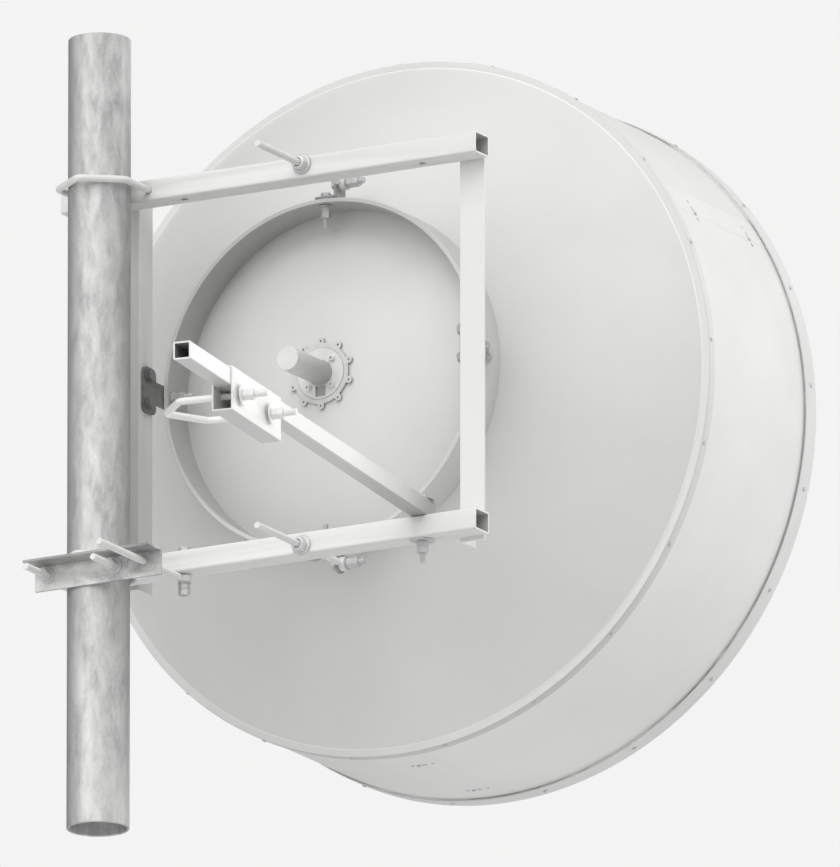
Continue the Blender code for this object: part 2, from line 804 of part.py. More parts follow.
def make_rod_bracket(name, up):
    """A bent plate on the ring: its foot is under the ring bolt, and its ear holds a rod."""
    thick, half, rounding = 0.005, 0.0175, 0.0175
    left, right = EAR_X, EAR_X + thick
    foot = DISH_Z + up * (RING_R + GAP)
    ear_height = ROD_RISE - RING_R - GAP
    outline = [(-half, 0.001)] + [(half, 0.001)]
    outline += arc((0, ear_height), rounding, 0, 180, 8)
    hole = circle(BOLT_HOLE_R, (0, ear_height))
    where = plane((DISH_X + (left + right) / 2, TILT_Y, foot), Y, up * Z)
    bracket = outline_solid(name, [outline, hole], thick, where, GALVANISED)
    edge = half + 0.0015
    top = foot + up * BRACKET_FOOT
    low = (DISH_X - 0.0135, TILT_Y - edge, min(foot, top))
    high = (DISH_X + right - 0.002, TILT_Y + edge, max(foot, top))
    join(bracket, block(name + "_foot", low, high))
    drill(bracket, (DISH_X, TILT_Y, foot), Z, RING_HOLE_R, 0.03)


def make_ring_bolts():
    """The bolts through the ring: the two that the dish tips on, and one for each bracket."""
    centre = Vector((DISH_X, TILT_Y, DISH_Z))
    nut, tail = 0.021, 0.017
    plate = ANGLE_REACH - GAP
    inside = RING_R - RING_WALL - 0.001  # the ring curves in beside a washer
    for side, word in ((-1, "left"), (1, "right")):
        grip = plate - inside
        seat = centre + side * plate * X
        bolt(f"{word}_pivot_bolt", seat, -side * X, grip, ZINC, tail, nut, small=True)
    for up, word in ((1, "upper"), (-1, "lower")):
        top = RING_R + GAP + BRACKET_FOOT
        grip = top - inside
        seat = centre + up * top * Z
        bolt(f"{word}_bracket_bolt", seat, -up * Z, grip, ZINC, tail, nut, small=True)
        seat = centre + Vector((EAR_X, 0, up * ROD_RISE))
        grip = ROD_X + EYE_SHIFT + EYE_THICK / 2 - EAR_X
        bolt(f"{word}_rod_pin", seat, X, grip, ZINC, tail=0.010, nut=0.024)


# --- Rods, strut and its clamp ---


def make_rods():
    x = DISH_X + ROD_X
    for up, word in ((1, "upper"), (-1, "lower")):
        eye = (x, TILT_Y, DISH_Z + up * ROD_RISE)
        length = TILT_Y - ROD_END_Y
        name = f"{word}_elevation_rod"
        eye_rod(name, eye, -Y, X, length, PAINTED, shift=EYE_SHIFT, neck=0.0033)
    eye = (AZIMUTH_X, TUBE_Y, AZIMUTH_ROD_Z)
    eye_rod("azimuth_rod", eye, -Y, Z, TUBE_Y - AZIMUTH_ROD_END_Y, PAINTED)


STRUT_PLACE = Matrix.Translation((STRUT_X, TUBE_Y, 0)) @ Matrix.Rotation(STRUT_SWING, 4, "Z")


def make_strut():
    middle = STRUT_OVERHANG - STRUT_LENGTH / 2
    height = STRUT_BOTTOM_Z + STRUT_SIDE / 2
    where = STRUT_PLACE @ plane((0, middle, height), Z, X)
    strut = square_tube(
        "sway_strut", STRUT_SIDE, STRUT_SIDE, STRUT_WALL, STRUT_LENGTH, where, PAINTED
    )
    drill(strut, (STRUT_X, TUBE_Y, height), Z, BOLT_HOLE_R, 0.08)


def make_strut_clamp():
    """A tall sleeve that slides on the strut, and the V-bolt below it for a tower member."""
    inner_half = STRUT_SIDE / 2 + GAP
    outer_half = inner_half + SLEEVE_WALL
    top = STRUT_BOTTOM_Z + STRUT_SIDE + GAP + SLEEVE_WALL
    bottom = top - SLEEVE_DROP - SLEEVE_WALL
    outer = [
        (top, -outer_half),
        (top, outer_half),
        (bottom, outer_half),
        (bottom, -outer_half),
    ]
    inner = [
        (top - SLEEVE_WALL, -inner_half),
        (top - SLEEVE_WALL, inner_half),
        (bottom + SLEEVE_WALL, inner_half),
        (bottom + SLEEVE_WALL, -inner_half),
    ]
    where = STRUT_PLACE @ plane((0, -SLEEVE_CENTRE, 0), Z, X)
    sleeve = outline_solid("strut_clamp", [outer, inner], SLEEVE_LENGTH, where, PAINTED)
    bolt_y = -SLEEVE_CENTRE - SLEEVE_BOLT_SHIFT
    bolt_z = STRUT_BOTTOM_Z - SLEEVE_BOLT_DROP
    across = (STRUT_PLACE.to_3x3() @ X).normalized()
    for step, word in ((1, "front"), (-1, "rear")):
        y = bolt_y + step * VBOLT_HALF
        hole = STRUT_PLACE @ Vector((0, y, bolt_z))
        drill(sleeve, hole, across, BOLT_HOLE_R, 0.06)
        seat = STRUT_PLACE @ Vector((outer_half, y, bolt_z))
        name = f"strut_v_bolt_nut_{word}"
        washered_nut(name, seat, across, PAINTED, washer=0.0195, spacer=0.0045)
    reach = -0.097 - (VBOLT_DEPTH - VBOLT_APEX)
    turn = Matrix.Rotation(-math.pi / 2, 4, "Z")
    where = STRUT_PLACE @ Matrix.Translation((reach, bolt_y, bolt_z)) @ turn
    v_bolt("strut_v_bolt", where, PAINTED)


# --- Putting it together ---


def on_axis(name, place, *makers):
    """Makes the pieces of one moving body, and parents them to an empty on its joint's axis."""
    before = set(PARTS.objects)
    for maker in makers:
        maker()
    made = [obj for obj in PARTS.objects if obj not in before]
    empty = bpy.data.objects.new(name, None)
    empty.empty_display_size = 0.1
    empty.location = place
    PARTS.objects.link(empty)
    for obj in made:
        obj.parent = empty
        obj.matrix_parent_inverse = Matrix.Translation(-Vector(place))


def make_frame():
    make_tube("upper_tube", 1)
    make_tube("lower_tube", -1)
    for side, word in ((-1, "left"), (1, "right")):
        make_upright(f"{word}_upright", side)
        make_pivot_plate(f"{word}_pivot_plate", side)
        make_plate_bolts(side, word)
    make_frame_bolts()
    make_lower_tube_bolts()


def make_dish():
    make_reflector()
    make_mounting_ring()
    make_shroud()
    make_radome()
    make_hub()
    make_feed()
    make_rod_bracket("upper_rod_bracket", 1)
    make_rod_bracket("lower_rod_bracket", -1)
    make_ring_bolts()


def main():
    make_pole()
    make_pole_clamp()
    on_axis("azimuth_axis", (0, 0, DISH_Z), make_frame)
    on_axis("elevation_axis", (DISH_X, TILT_Y, DISH_Z), make_dish)
    make_rods()
    on_axis("sway_axis", (STRUT_X, TUBE_Y, STRUT_BOTTOM_Z), make_strut)
    clamp_middle = STRUT_PLACE @ Vector((0, -SLEEVE_CENTRE, STRUT_BOTTOM_Z + STRUT_SIDE / 2))
    on_axis("clamp_axis", clamp_middle, make_strut_clamp)


main()
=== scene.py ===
"""The looks of a shrouded microwave dish on a steel pole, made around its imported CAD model.

Sizes are in metres, in the row frame: +Z up the pole, +Y the way the dish looks, and +X from
the pole across the back of the dish.
"""

import json
import math

import bmesh
import bpy
from mathutils import Matrix, Vector, noise

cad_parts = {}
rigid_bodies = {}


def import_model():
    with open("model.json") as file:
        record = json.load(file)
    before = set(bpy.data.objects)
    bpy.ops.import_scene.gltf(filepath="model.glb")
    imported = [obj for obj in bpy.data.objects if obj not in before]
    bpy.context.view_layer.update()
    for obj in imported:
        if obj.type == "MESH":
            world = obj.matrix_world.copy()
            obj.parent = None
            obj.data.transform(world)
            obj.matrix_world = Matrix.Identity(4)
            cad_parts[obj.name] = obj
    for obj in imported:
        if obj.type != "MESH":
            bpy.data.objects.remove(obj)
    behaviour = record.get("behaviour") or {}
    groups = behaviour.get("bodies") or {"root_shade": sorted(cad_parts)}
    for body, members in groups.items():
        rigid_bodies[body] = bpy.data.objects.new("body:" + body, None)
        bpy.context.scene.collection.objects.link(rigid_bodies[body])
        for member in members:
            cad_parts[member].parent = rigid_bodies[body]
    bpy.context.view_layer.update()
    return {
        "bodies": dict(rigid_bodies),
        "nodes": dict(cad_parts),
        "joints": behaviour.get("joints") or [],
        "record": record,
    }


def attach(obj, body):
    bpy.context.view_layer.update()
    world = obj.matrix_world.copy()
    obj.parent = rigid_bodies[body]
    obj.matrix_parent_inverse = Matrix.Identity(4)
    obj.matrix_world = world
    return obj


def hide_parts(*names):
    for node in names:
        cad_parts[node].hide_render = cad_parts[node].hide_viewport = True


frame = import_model()

X, Y, Z = Vector((1, 0, 0)), Vector((0, 1, 0)), Vector((0, 0, 1))
TAU = 2 * math.pi
SIDES = ((-1, "left"), (1, "right"))
LEVELS = ((1, "upper"), (-1, "lower"))
GAP = 0.0003
FILL_SCALE = 100  # small outlines are filled at this scale

# Pole and the dish's axis
POLE_R = 0.05715
POLE_WALL = 0.005
POLE_LENGTH = 1.480
POLE_GAP = 0.00035
DISH_X = 0.356
DISH_Z = 0.850
TILT_Y = 0.2063
TILT_CENTRE = Vector((DISH_X, TILT_Y, DISH_Z))

# Frame
TUBE_DEPTH = 0.050
TUBE_HEIGHT = 0.040
TUBE_WALL = 0.003
TUBE_Y = POLE_R + POLE_GAP + TUBE_DEPTH / 2
TUBE_RISE = 0.3525
TUBE_LEFT = -0.114
TUBE_RIGHT = 0.751
END_INSET = 0.0005  # where a tube's shaded inside starts, from its ends
WALL_INSET = 0.002  # and from its outer faces
ANGLE_LEG = 0.050
ANGLE_THICK = 0.005
ANGLE_OUTLINE = (
    *((0, 0), (ANGLE_LEG, 0), (ANGLE_LEG, ANGLE_THICK)),
    *((ANGLE_THICK, ANGLE_THICK), (ANGLE_THICK, ANGLE_LEG), (0, ANGLE_LEG)),
)
ANGLE_HALF = 0.3795
ANGLE_REACH = 0.3348
ANGLE_Y = TUBE_Y + TUBE_DEPTH / 2 + GAP
PLATE_BOLT_RISE = 0.026

# Dish
VERTEX_Y = 0.1903
RIM_Y = 0.4688
RIM_R = 0.6500
BOWL_R = 0.6370
BOWL_HOLE_R = 0.0260
FOCAL = BOWL_R**2 / (4 * (RIM_Y - VERTEX_Y))
SKIN = 0.003
LIP_DEPTH = 0.0215
SHROUD_R = 0.6470
SHROUD_SHEET = 0.002
SHROUD_FRONT_Y = 0.8560
LINING_THICK = 0.015
FRONT_Y = 0.8653
BAND_DEPTH = 0.037
RADOME_SHEET = 0.002
RADOME_BULGE = 0.022
TUCK = 0.0040  # how far the radome's skirt reaches where it shows beside the band
TUCK_TURN = 45.0
TUCK_HALF = 11.0
RING_R = 0.3287
RING_WALL = 0.0084
RING_Y = 0.1870

# Screws round the edges, and the shroud's seams, with their turns in degrees
SCREW_R = 0.0042
SCREW_HEAD = ((0.22, 0.72), (0.34, 0.98), (0.70, 0.90), (0.92, 0.62), (1, 0.30), (1, 0))
SCREW_COUNT = 21
SCREW_PHASE = math.radians(4.1)
EDGE_SCREWS = (
    # The row's name, its radius and its depth
    ("rim_screws", RIM_R, RIM_Y + 0.0105),
    ("band_screws", 0.6516, 0.8490),
)
SEAM_TURNS = (29.1, 149.1, 269.1)
SEAM_LAP = 4.2
SEAM_CLIPS = (0.567, 0.770)
SLOT_TURNS = ((-1.46, -0.84), (0.57, 1.55), (2.30, 2.84))

# Feed
HUB_Y = 0.1871
HUB_THICK = 0.0045
HUB_BASE_R = 0.0570
HUB_LOBES = 10
LOBE_R = 0.0065
LOBE_CENTRE_R = 0.0610
LOBE_HOLE_R = 0.0021
FEED_DISC_R = 0.0480
FEED_DISC_Y = 0.1857
KEYWAY_Y = 0.1890
BOSS_R = 0.0227
BOSS_Y = 0.0643
GUIDE_R = 0.0140
CONE_R = 0.0480
CONE_Y = 0.4900
CONE_LENGTH = 0.0500
SPLASH_R = 0.0520
FEED_SCREW_CIRCLE = 0.0350

# Rods, bolts and V-bolts
ROD_R = 0.0065  # the V-bolts and the adjusting rods
SHANK_R = 0.006
RING_SHANK_R = 0.005
RING_HEAD_R = 0.0094
RING_HOLE_R = 0.0056
THREAD = 0.00175
HEAD_R = 0.011
HEAD_HEIGHT = 0.0075
WASHER_R = 0.0125
WASHER_THICK = 0.0025
SPACER_R = 0.0090
NUT_HEIGHT = 0.010
DOUBLE_NUT = 0.0215
BOLT_HOLE_R = 0.0071
ROD_HOLE_R = 0.0085
NUT_BORE_R = 0.0082
EYE_R = 0.0130
EYE_THICK = 0.0120
EYE_BORE_R = 0.0064
ROD_X = 0.0348
ROD_RISE = 0.3575
EAR_X = 0.0258
EYE_SHIFT = 0.0025
BRACKET_FOOT = 0.004
ROD_END_Y = -0.1067
VBOLT_HALF = 0.070
VBOLT_DEPTH = 0.053
VBOLT_BEND_R = 0.012
VBOLT_APEX = (POLE_R + ROD_R + GAP) * math.hypot(VBOLT_HALF, VBOLT_DEPTH) / VBOLT_HALF
VBOLT_LEG = 0.170
VBOLT_THREAD = 0.075

# Clamp on the pole
CLAMP_TOP_Z = DISH_Z - 0.3592
CLAMP_LEFT = -0.097
CLAMP_RIGHT = 0.166
CLAMP_BOLT_Z = DISH_Z - 0.3820
AZIMUTH_X = 0.1315
AZIMUTH_ROD_Z = DISH_Z - 0.3810
AZIMUTH_ROD_END_Y = -0.2267

# Strut
STRUT_X = 0.6277
STRUT_SWING = math.radians(8.2)
STRUT_SIDE = 0.033
STRUT_WALL = 0.003
STRUT_LENGTH = 1.199
STRUT_OVERHANG = 0.022
STRUT_BOTTOM_Z = DISH_Z - TUBE_RISE + TUBE_HEIGHT / 2 + GAP
SLEEVE_CENTRE = 0.865
SLEEVE_LENGTH = 0.235
SLEEVE_WALL = 0.003
SLEEVE_DROP = 0.0785
SLEEVE_BOLT_SHIFT = 0.010
SLEEVE_BOLT_DROP = 0.0103
SLEEVE_VBOLT_TIP = -0.097
SLEEVE_WASHER_R = 0.0195
SLEEVE_SPACER = 0.0045

# Camera, floor and light
VIEW_AZIMUTH = 29.528
VIEW_ELEVATION = -15.097
LENS = 1600
DISTANCE = 68.27
AIM = Vector((1.2514, -1.0285, 0.3328))
FLOOR_R = 4.4
FLOOR_CENTRE = (0.4, 0.0, -1.5)
BACKDROP = (0.90, 0.90, 0.895, 1)
LOBE_POWER = 8.0
LOBES = (
    # Where the light comes from, and how strong it is
    ((-0.29, 0.50, -0.82), 5.2),
    ((0.32, -0.56, 0.77), 2.65),
    ((0.68, 0.68, 0.26), 2.46),
    ((-0.29, -0.50, -0.82), 2.11),
    ((0.00, 0.97, 0.26), 1.82),
    ((0.00, -0.97, 0.26), 1.56),
    ((0.66, 0.66, -0.34), 1.29),
    ((-0.68, -0.68, 0.26), 0.80),
    ((0.29, 0.50, -0.82), 0.56),
    ((-0.32, -0.56, 0.77), 0.38),
    ((0.00, 0.94, -0.34), 0.29),
    ((0.97, 0.00, 0.26), 0.23),
    ((-0.94, 0.00, -0.34), 0.19),
)


def in_scene(name, data):
    obj = bpy.data.objects.new(name, data)
    bpy.context.scene.collection.objects.link(obj)
    return obj


def make_camera():
    azimuth, elevation = math.radians(VIEW_AZIMUTH), math.radians(VIEW_ELEVATION)
    level = math.cos(elevation)
    back = Vector((math.sin(azimuth) * level, -math.cos(azimuth) * level, math.sin(elevation)))
    data = bpy.data.cameras.new("camera")
    data.sensor_width = 36
    data.lens = LENS
    data.clip_start, data.clip_end = 1, DISTANCE * 2
    camera = in_scene("camera", data)
    camera.location = AIM + back * DISTANCE
    camera.rotation_mode = "QUATERNION"
    camera.rotation_quaternion = (-back).to_track_quat("-Z", "Y")
    bpy.context.scene.camera = camera


# --- Materials ---


class Nodes:
    """A node tree, with short ways to add to it."""

    def __init__(self, tree):
        self.tree = tree

    def add(self, kind, settings=None, **inputs):
        node = self.tree.nodes.new(kind)
        for key, value in (settings or {}).items():
            setattr(node, key, value)
        for key, value in inputs.items():
            self.put(node.inputs[key.replace("_", " ")], value)
        return node

    def put(self, socket, value):
        if isinstance(value, bpy.types.NodeSocket):
            self.tree.links.new(value, socket)
        else:
            socket.default_value = value

    def joined(self, kind, operation, first, second):
        node = self.add(kind, {"operation": operation})
        self.put(node.inputs[0], first)
        self.put(node.inputs[1], second)
        return node

    def math(self, operation, first, second):
        return self.joined("ShaderNodeMath", operation, first, second).outputs[0]

    def dot(self, first, second):
        node = self.joined("ShaderNodeVectorMath", "DOT_PRODUCT", first, second)
        return node.outputs["Value"]


class Paint(Nodes):
    """A material's node tree, with textures in the place of each point on the object."""

    def __init__(self, name):
        self.material = bpy.data.materials.new(name)
        self.material.use_nodes = True
        super().__init__(self.material.node_tree)
        self.shader = self.tree.nodes["Principled BSDF"]
        self.place = self.add("ShaderNodeTexCoord").outputs["Object"]

    def along(self, axis):
        return self.add("ShaderNodeSeparateXYZ", Vector=self.place).outputs[axis]

    def stretched(self, scale):
        return self.add("ShaderNodeMapping", Vector=self.place, Scale=scale).outputs[0]

    def noise(self, scale, detail=4.0, rough=0.55, place=None, distortion=0.0):
        where = {"Vector": place or self.place, "Scale": scale}
        grain = {"Detail": detail, "Roughness": rough, "Distortion": distortion}
        return self.add("ShaderNodeTexNoise", **where, **grain).outputs["Fac"]

    def cells(self, scale, out="Distance"):
        where = {"Vector": self.place, "Scale": scale}
        return self.add("ShaderNodeTexVoronoi", {"feature": "F1"}, **where).outputs[out]

    def span(self, value, low, high, to_low=0.0, to_high=1.0):
        ends = {"From_Min": low, "From_Max": high, "To_Min": to_low, "To_Max": to_high}
        return self.add("ShaderNodeMapRange", Value=value, **ends).outputs[0]

    def mix(self, factor, first, second):
        node = self.add("ShaderNodeMix", {"data_type": "RGBA"})
        self.put(node.inputs[0], factor)
        for socket, value in ((node.inputs[6], first), (node.inputs[7], second)):
            self.put(socket, (*value, 1) if isinstance(value, tuple) else value)
        return node.outputs[2]

    def over(self, mask, share, colour, layer):
        """The colour with a share of another layer over it, where the mask is."""
        return self.mix(self.math("MULTIPLY", mask, share), colour, layer)

    def finish(self, colour, roughness, metallic, bumps, specular=0.5):
        self.put(self.shader.inputs["Base Color"], colour)
        self.put(self.shader.inputs["Roughness"], roughness)
        self.shader.inputs["Metallic"].default_value = metallic
        self.shader.inputs["Specular IOR Level"].default_value = specular
        normal = None
        for height, distance in bumps:
            bump = self.add("ShaderNodeBump", Height=height, Distance=distance)
            if normal:
                self.put(bump.inputs["Normal"], normal)
            normal = bump.outputs[0]
        if normal:
            self.put(self.shader.inputs["Normal"], normal)
        return self.material


def tone(value, tint=(1.0, 1.0, 1.0)):
    return tuple(value * part for part in tint)


WARM = (1.0, 0.997, 0.985)


def painted(name, value, grime=0.93, rough=0.42, shade_fade=None):
    """Powder paint: a fine orange peel, faint clouds of dust, and duller where it is dusty.

    A shade fade paints shade along an axis: it gives the axis, the places on it where the paint
    is darkest and fully lit, and how much of the paint's tone is left where it is darkest.
    """
    n = Paint(name)
    clouds = n.span(n.noise(3.1, 5.0), 0.35, 0.75)
    specks = n.span(n.noise(260.0, 2.0), 0.62, 0.78)
    colour = n.mix(clouds, tone(value, WARM), tone(value * grime, WARM))
    colour = n.over(specks, 0.25, colour, tone(value * 0.72, WARM))
    # painted shade: the paint darkens along the axis toward where it is least lit
    if shade_fade:
        axis, shadiest, fully_lit, left = shade_fade
        shade_share = n.span(n.along(axis), shadiest, fully_lit, 1.0, 0.0)
        colour = n.mix(shade_share, colour, tone(value * left, WARM))
    roughness = n.span(clouds, 0.0, 1.0, rough, rough + 0.14)
    bumps = [(n.noise(620.0, 2.0), 0.00004), (n.noise(11.0, 2.0), 0.00012)]
    return n.finish(colour, roughness, 0.0, bumps)


def galvanised(name, dark, light, streak, sides=None):
    """Hot-dip zinc: grey clouds that run down, pale blooms, fine spangle and dark pits.

    A pole is also darkened down two flanks with painted shade: it grows with the distance along
    sides.
    """
    n = Paint(name)
    flow = n.stretched(streak)
    clouds = n.noise(2.6, 8.0, 0.62, flow, 0.35)
    blooms = n.span(n.noise(1.1, 6.0, 0.6, flow, 0.6), 0.42, 0.66)
    grey = n.add("ShaderNodeRGBToBW", Color=n.cells(240.0, "Color")).outputs[0]
    base = n.mix(n.span(clouds, 0.32, 0.68), tone(dark), tone(light, WARM))
    base = n.over(blooms, 0.55, base, tone(light * 1.12, WARM))
    base = n.over(grey, 0.16, base, tone(light * 1.25, WARM))
    pits = n.span(n.noise(150.0, 3.0), 0.60, 0.80)
    base = n.over(pits, 0.25, base, tone(dark * 0.8))
    # painted shade down the pole's two flanks
    if sides:
        across = n.math("ABSOLUTE", n.dot(n.place, sides), 0.0)
        base = n.over(n.span(across, 0.50, 1.0), 0.72, base, tone(dark * 0.75))
    roughness = n.span(clouds, 0.3, 0.7, 0.62, 0.42)
    return n.finish(base, roughness, 0.25, [(n.noise(90.0, 4.0), 0.00025), (grey, 0.00004)])


def plated(name, value, metallic, rough):
    """Zinc plate: slightly cloudy, with small rub marks."""
    n = Paint(name)
    clouds = n.span(n.noise(60.0, 5.0), 0.3, 0.7)
    rubs = n.span(n.noise(900.0, 2.0, 0.5, n.stretched((1.0, 0.1, 1.0))), 0.55, 0.8)
    colour = n.mix(clouds, tone(value, WARM), tone(value * 0.84))
    colour = n.over(rubs, 0.3, colour, tone(value * 1.12, WARM))
    roughness = n.span(clouds, 0.0, 1.0, rough, rough + 0.18)
    return n.finish(colour, roughness, metallic, [(n.noise(500.0, 3.0), 0.00005)])


def dark_steel(name, value):
    n = Paint(name)
    clouds = n.span(n.noise(42.0, 6.0), 0.3, 0.7)
    colour = n.mix(clouds, tone(value * 0.8), tone(value * 1.3, (1.0, 0.98, 0.95)))
    scratches = n.noise(420.0, 2.0, 0.5, n.stretched((1.0, 6.0, 0.5)))
    colour = n.over(n.span(scratches, 0.62, 0.75), 0.4, colour, tone(value * 2.2))
    roughness = n.span(clouds, 0.0, 1.0, 0.42, 0.62)
    return n.finish(colour, roughness, 0.35, [(n.noise(230.0, 4.0), 0.00012)])


def turned_alloy(name, value, root_shade=1.0):
    """Machined alloy: fine tool marks round the dish's axis, and darker toward the bowl: painted
    shade.
    """
    n = Paint(name)
    shift = n.add("ShaderNodeMapping", Vector=n.place, Location=(-DISH_X, 0, -DISH_Z))
    kind = {"wave_type": "RINGS", "rings_direction": "Y"}
    marks = {"Vector": shift.outputs[0], "Scale": 420.0, "Distortion": 0.6, "Detail": 2.0}
    rings = n.add("ShaderNodeTexWave", kind, **marks).outputs["Fac"]
    clouds = n.span(n.noise(35.0, 5.0), 0.3, 0.7)
    colour = n.mix(clouds, tone(value, WARM), tone(value * 0.92, WARM))
    # painted shade on the boss's side toward the bowl
    if root_shade < 1:
        depth = n.along("Y")
        root_shade_share = n.span(depth, BOSS_Y + 0.01, FEED_DISC_Y - 0.004)
        edge = n.span(depth, FEED_DISC_Y - 0.003, FEED_DISC_Y - 0.001, 1.0, 0.0)
        colour = n.over(root_shade_share, edge, colour, tone(value * root_shade, WARM))
    roughness = n.span(clouds, 0.0, 1.0, 0.42, 0.55)
    return n.finish(colour, roughness, 0.15, [(rings, 0.00002), (n.noise(700.0), 0.00003)])


def radome_laminate(name):
    """Moulded glass-fibre laminate: a fine weave under the gelcoat, with faint weather marks."""
    n = Paint(name)
    weave = []
    for direction in ("X", "Z"):
        kind = {"wave_type": "BANDS", "bands_direction": direction}
        marks = {"Vector": n.place, "Scale": 160.0, "Distortion": 0.25}
        weave.append(n.add("ShaderNodeTexWave", kind, **marks).outputs["Fac"])
    fibres = n.math("MULTIPLY", *weave)
    clouds = n.span(n.noise(2.4, 6.0), 0.35, 0.7)
    colour = n.mix(clouds, tone(0.58, WARM), tone(0.53, (1.0, 0.99, 0.96)))
    colour = n.over(fibres, 0.12, colour, tone(0.50, WARM))
    roughness = n.span(clouds, 0.0, 1.0, 0.55, 0.7)
    return n.finish(colour, roughness, 0.0, [(fibres, 0.0001), (n.noise(7.0), 0.0008)])


def foam(name):
    n = Paint(name)
    pores = n.cells(330.0)
    clouds = n.noise(30.0, 4.0)
    colour = n.mix(n.span(pores, 0.1, 0.6), tone(0.018), tone(0.055))
    colour = n.over(clouds, 0.3, colour, tone(0.08))
    roughness = n.span(clouds, 0.3, 0.7, 0.85, 0.98)
    return n.finish(colour, roughness, 0.0, [(pores, 0.0008)], 0.2)


def cone_plastic(name):
    n = Paint(name)
    clouds = n.span(n.noise(40.0, 4.0), 0.3, 0.7)
    colour = n.mix(clouds, (0.82, 0.80, 0.74), (0.76, 0.74, 0.67))
    roughness = n.span(clouds, 0.0, 1.0, 0.33, 0.45)
    return n.finish(colour, roughness, 0.0, [(n.noise(300.0), 0.00004)])


def shaded_gap(name, value):
    """The shade in a narrow slot, patchy along it."""
    n = Paint(name)
    colour = n.mix(n.span(n.noise(9.0), 0.4, 0.6), tone(value * 0.6), tone(value * 1.4))
    return n.finish(colour, n.span(n.noise(90.0), 0.3, 0.7, 0.7, 0.9), 0.0, [], 0.2)


BOWL_PAINT = painted("bowl_paint", 0.79)
SHROUD_PAINT = painted("shroud_paint", 0.78)
TUBE_PAINT = painted("tube_paint", 0.86, grime=0.96)
# The left upright's paint darkens toward its bottom: painted shade.
LEFT_UPRIGHT_SHADE_PAINT = painted("upright_shade_paint", 0.93, grime=0.96, shade_fade=("Z", 0.74, 1.05, 0.76))
# The strut's paint darkens toward the pivot, where the dish keeps light off it: painted shade.
STRUT_PAINT = painted("strut_paint", 0.93, 0.98, 0.34, shade_fade=("Y", 0.06, -0.32, 0.56))
# Undersides of the strut and sleeve: painted shade, darker also toward the pivot.
STRUT_UNDER_SHADE = painted("strut_under_shade", 0.66, shade_fade=("Y", 0.06, -0.32, 0.56))
# Paint lighter than the bowl: a painted highlight on the rim bead and on the radome's skirt edge.
BEAD_HIGHLIGHT = painted("bead_highlight_paint", 0.93)
# The rim's lip: a darker copy of the bowl's paint, darker still toward the bottom: painted shade.
LIP_SHADE = painted("lip_shade_paint", 0.725, shade_fade=("Z", 0.25, 0.95, 0.80))
# One shroud panel a little darker than the others: painted shade.
PANEL_SHADE = painted("panel_shade_paint", 0.745)
BAND_PAINT = painted("band_paint", 0.70)
TUBE_SHADE = painted("tube_inside", 0.58)
# Undersides of the tubes: painted shade.
TUBE_UNDER_SHADE = painted("tube_under_shade", 0.79, grime=0.96)
STRUT_SHADE = painted("strut_inside", 0.36)
SLEEVE_SHADE = painted("sleeve_inside", 0.92)
# The direction across the view: the pole's flanks along it get painted shade.
SHADED_FLANKS = (0.870 / POLE_R, 0.493 / POLE_R, 0.0)
POLE_ZINC = galvanised("pole_zinc", 0.38, 0.72, (20.0, 20.0, 6.5), SHADED_FLANKS)
CLAMP_ZINC = galvanised("clamp_zinc", 0.30, 0.86, (6.0, 9.0, 9.0))
CLAMP_UNDER_SHADE = galvanised("clamp_under_shade", 0.20, 0.46, (6.0, 9.0, 9.0))
BRACKET_ZINC = galvanised("bracket_zinc", 0.26, 0.46, (9.0, 14.0, 14.0))
PLATED = plated("plated", 0.66, 0.35, 0.34)
BRIGHT = plated("bright", 0.90, 0.35, 0.25)
RING_PAINT = painted("ring_paint", 0.70)
RING_SHADE = painted("ring_inside", 0.49)
NUT_PAINT = plated("nut_plate", 0.78, 0.25, 0.34)
DARK = dark_steel("dark_steel", 0.21)
GREY_STEEL = dark_steel("grey_steel", 0.42)
ALLOY = turned_alloy("alloy", 0.72)
BOSS_ALLOY = turned_alloy("boss_alloy", 0.81, 0.57)
# Darker alloy for the hub's edges and the keyway's floor: painted shade.
ALLOY_SHADE = turned_alloy("alloy_shade", 0.44)
LAMINATE = radome_laminate("radome_laminate")
FOAM = foam("foam")
PLASTIC = cone_plastic("cone_plastic")
SLOT_SHADE = shaded_gap("slot_shade", 0.30)


# --- Placing and mesh helpers ---


def placed(origin, axis=Z):
    turn = Z.rotation_difference(Vector(axis)).to_matrix().to_4x4()
    return Matrix.Translation(Vector(origin)) @ turn


def plane(origin, across, along):
    """Local X goes across, local Y goes along, and an outline is extruded both ways from it."""
    turn = Matrix((across, along, across.cross(along))).transposed().to_4x4()
    return Matrix.Translation(Vector(origin)) @ turn


def piece(name, bm, matrix, material, body, nodes=(), angle=30):
    """A finished piece: its mesh in the row frame, smooth but for sharp edges."""
    bmesh.ops.transform(bm, matrix=matrix, verts=bm.verts)
    bmesh.ops.recalc_face_normals(bm, faces=bm.faces)
    mesh = bpy.data.meshes.new(name)
    bm.to_mesh(mesh)
    bm.free()
    mesh.shade_smooth()
    mesh.set_sharp_from_angle(angle=math.radians(angle))
    obj = in_scene(name, mesh)
    mesh.materials.append(material)
    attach(obj, body)
    if nodes:
        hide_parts(*nodes)
    return obj


def repaint(obj, material, chosen):
    """Gives the faces whose middle and normal are chosen another material."""
    obj.data.materials.append(material)
    for face in obj.data.polygons:
        if chosen(face.center, face.normal):
            face.material_index = len(obj.data.materials) - 1


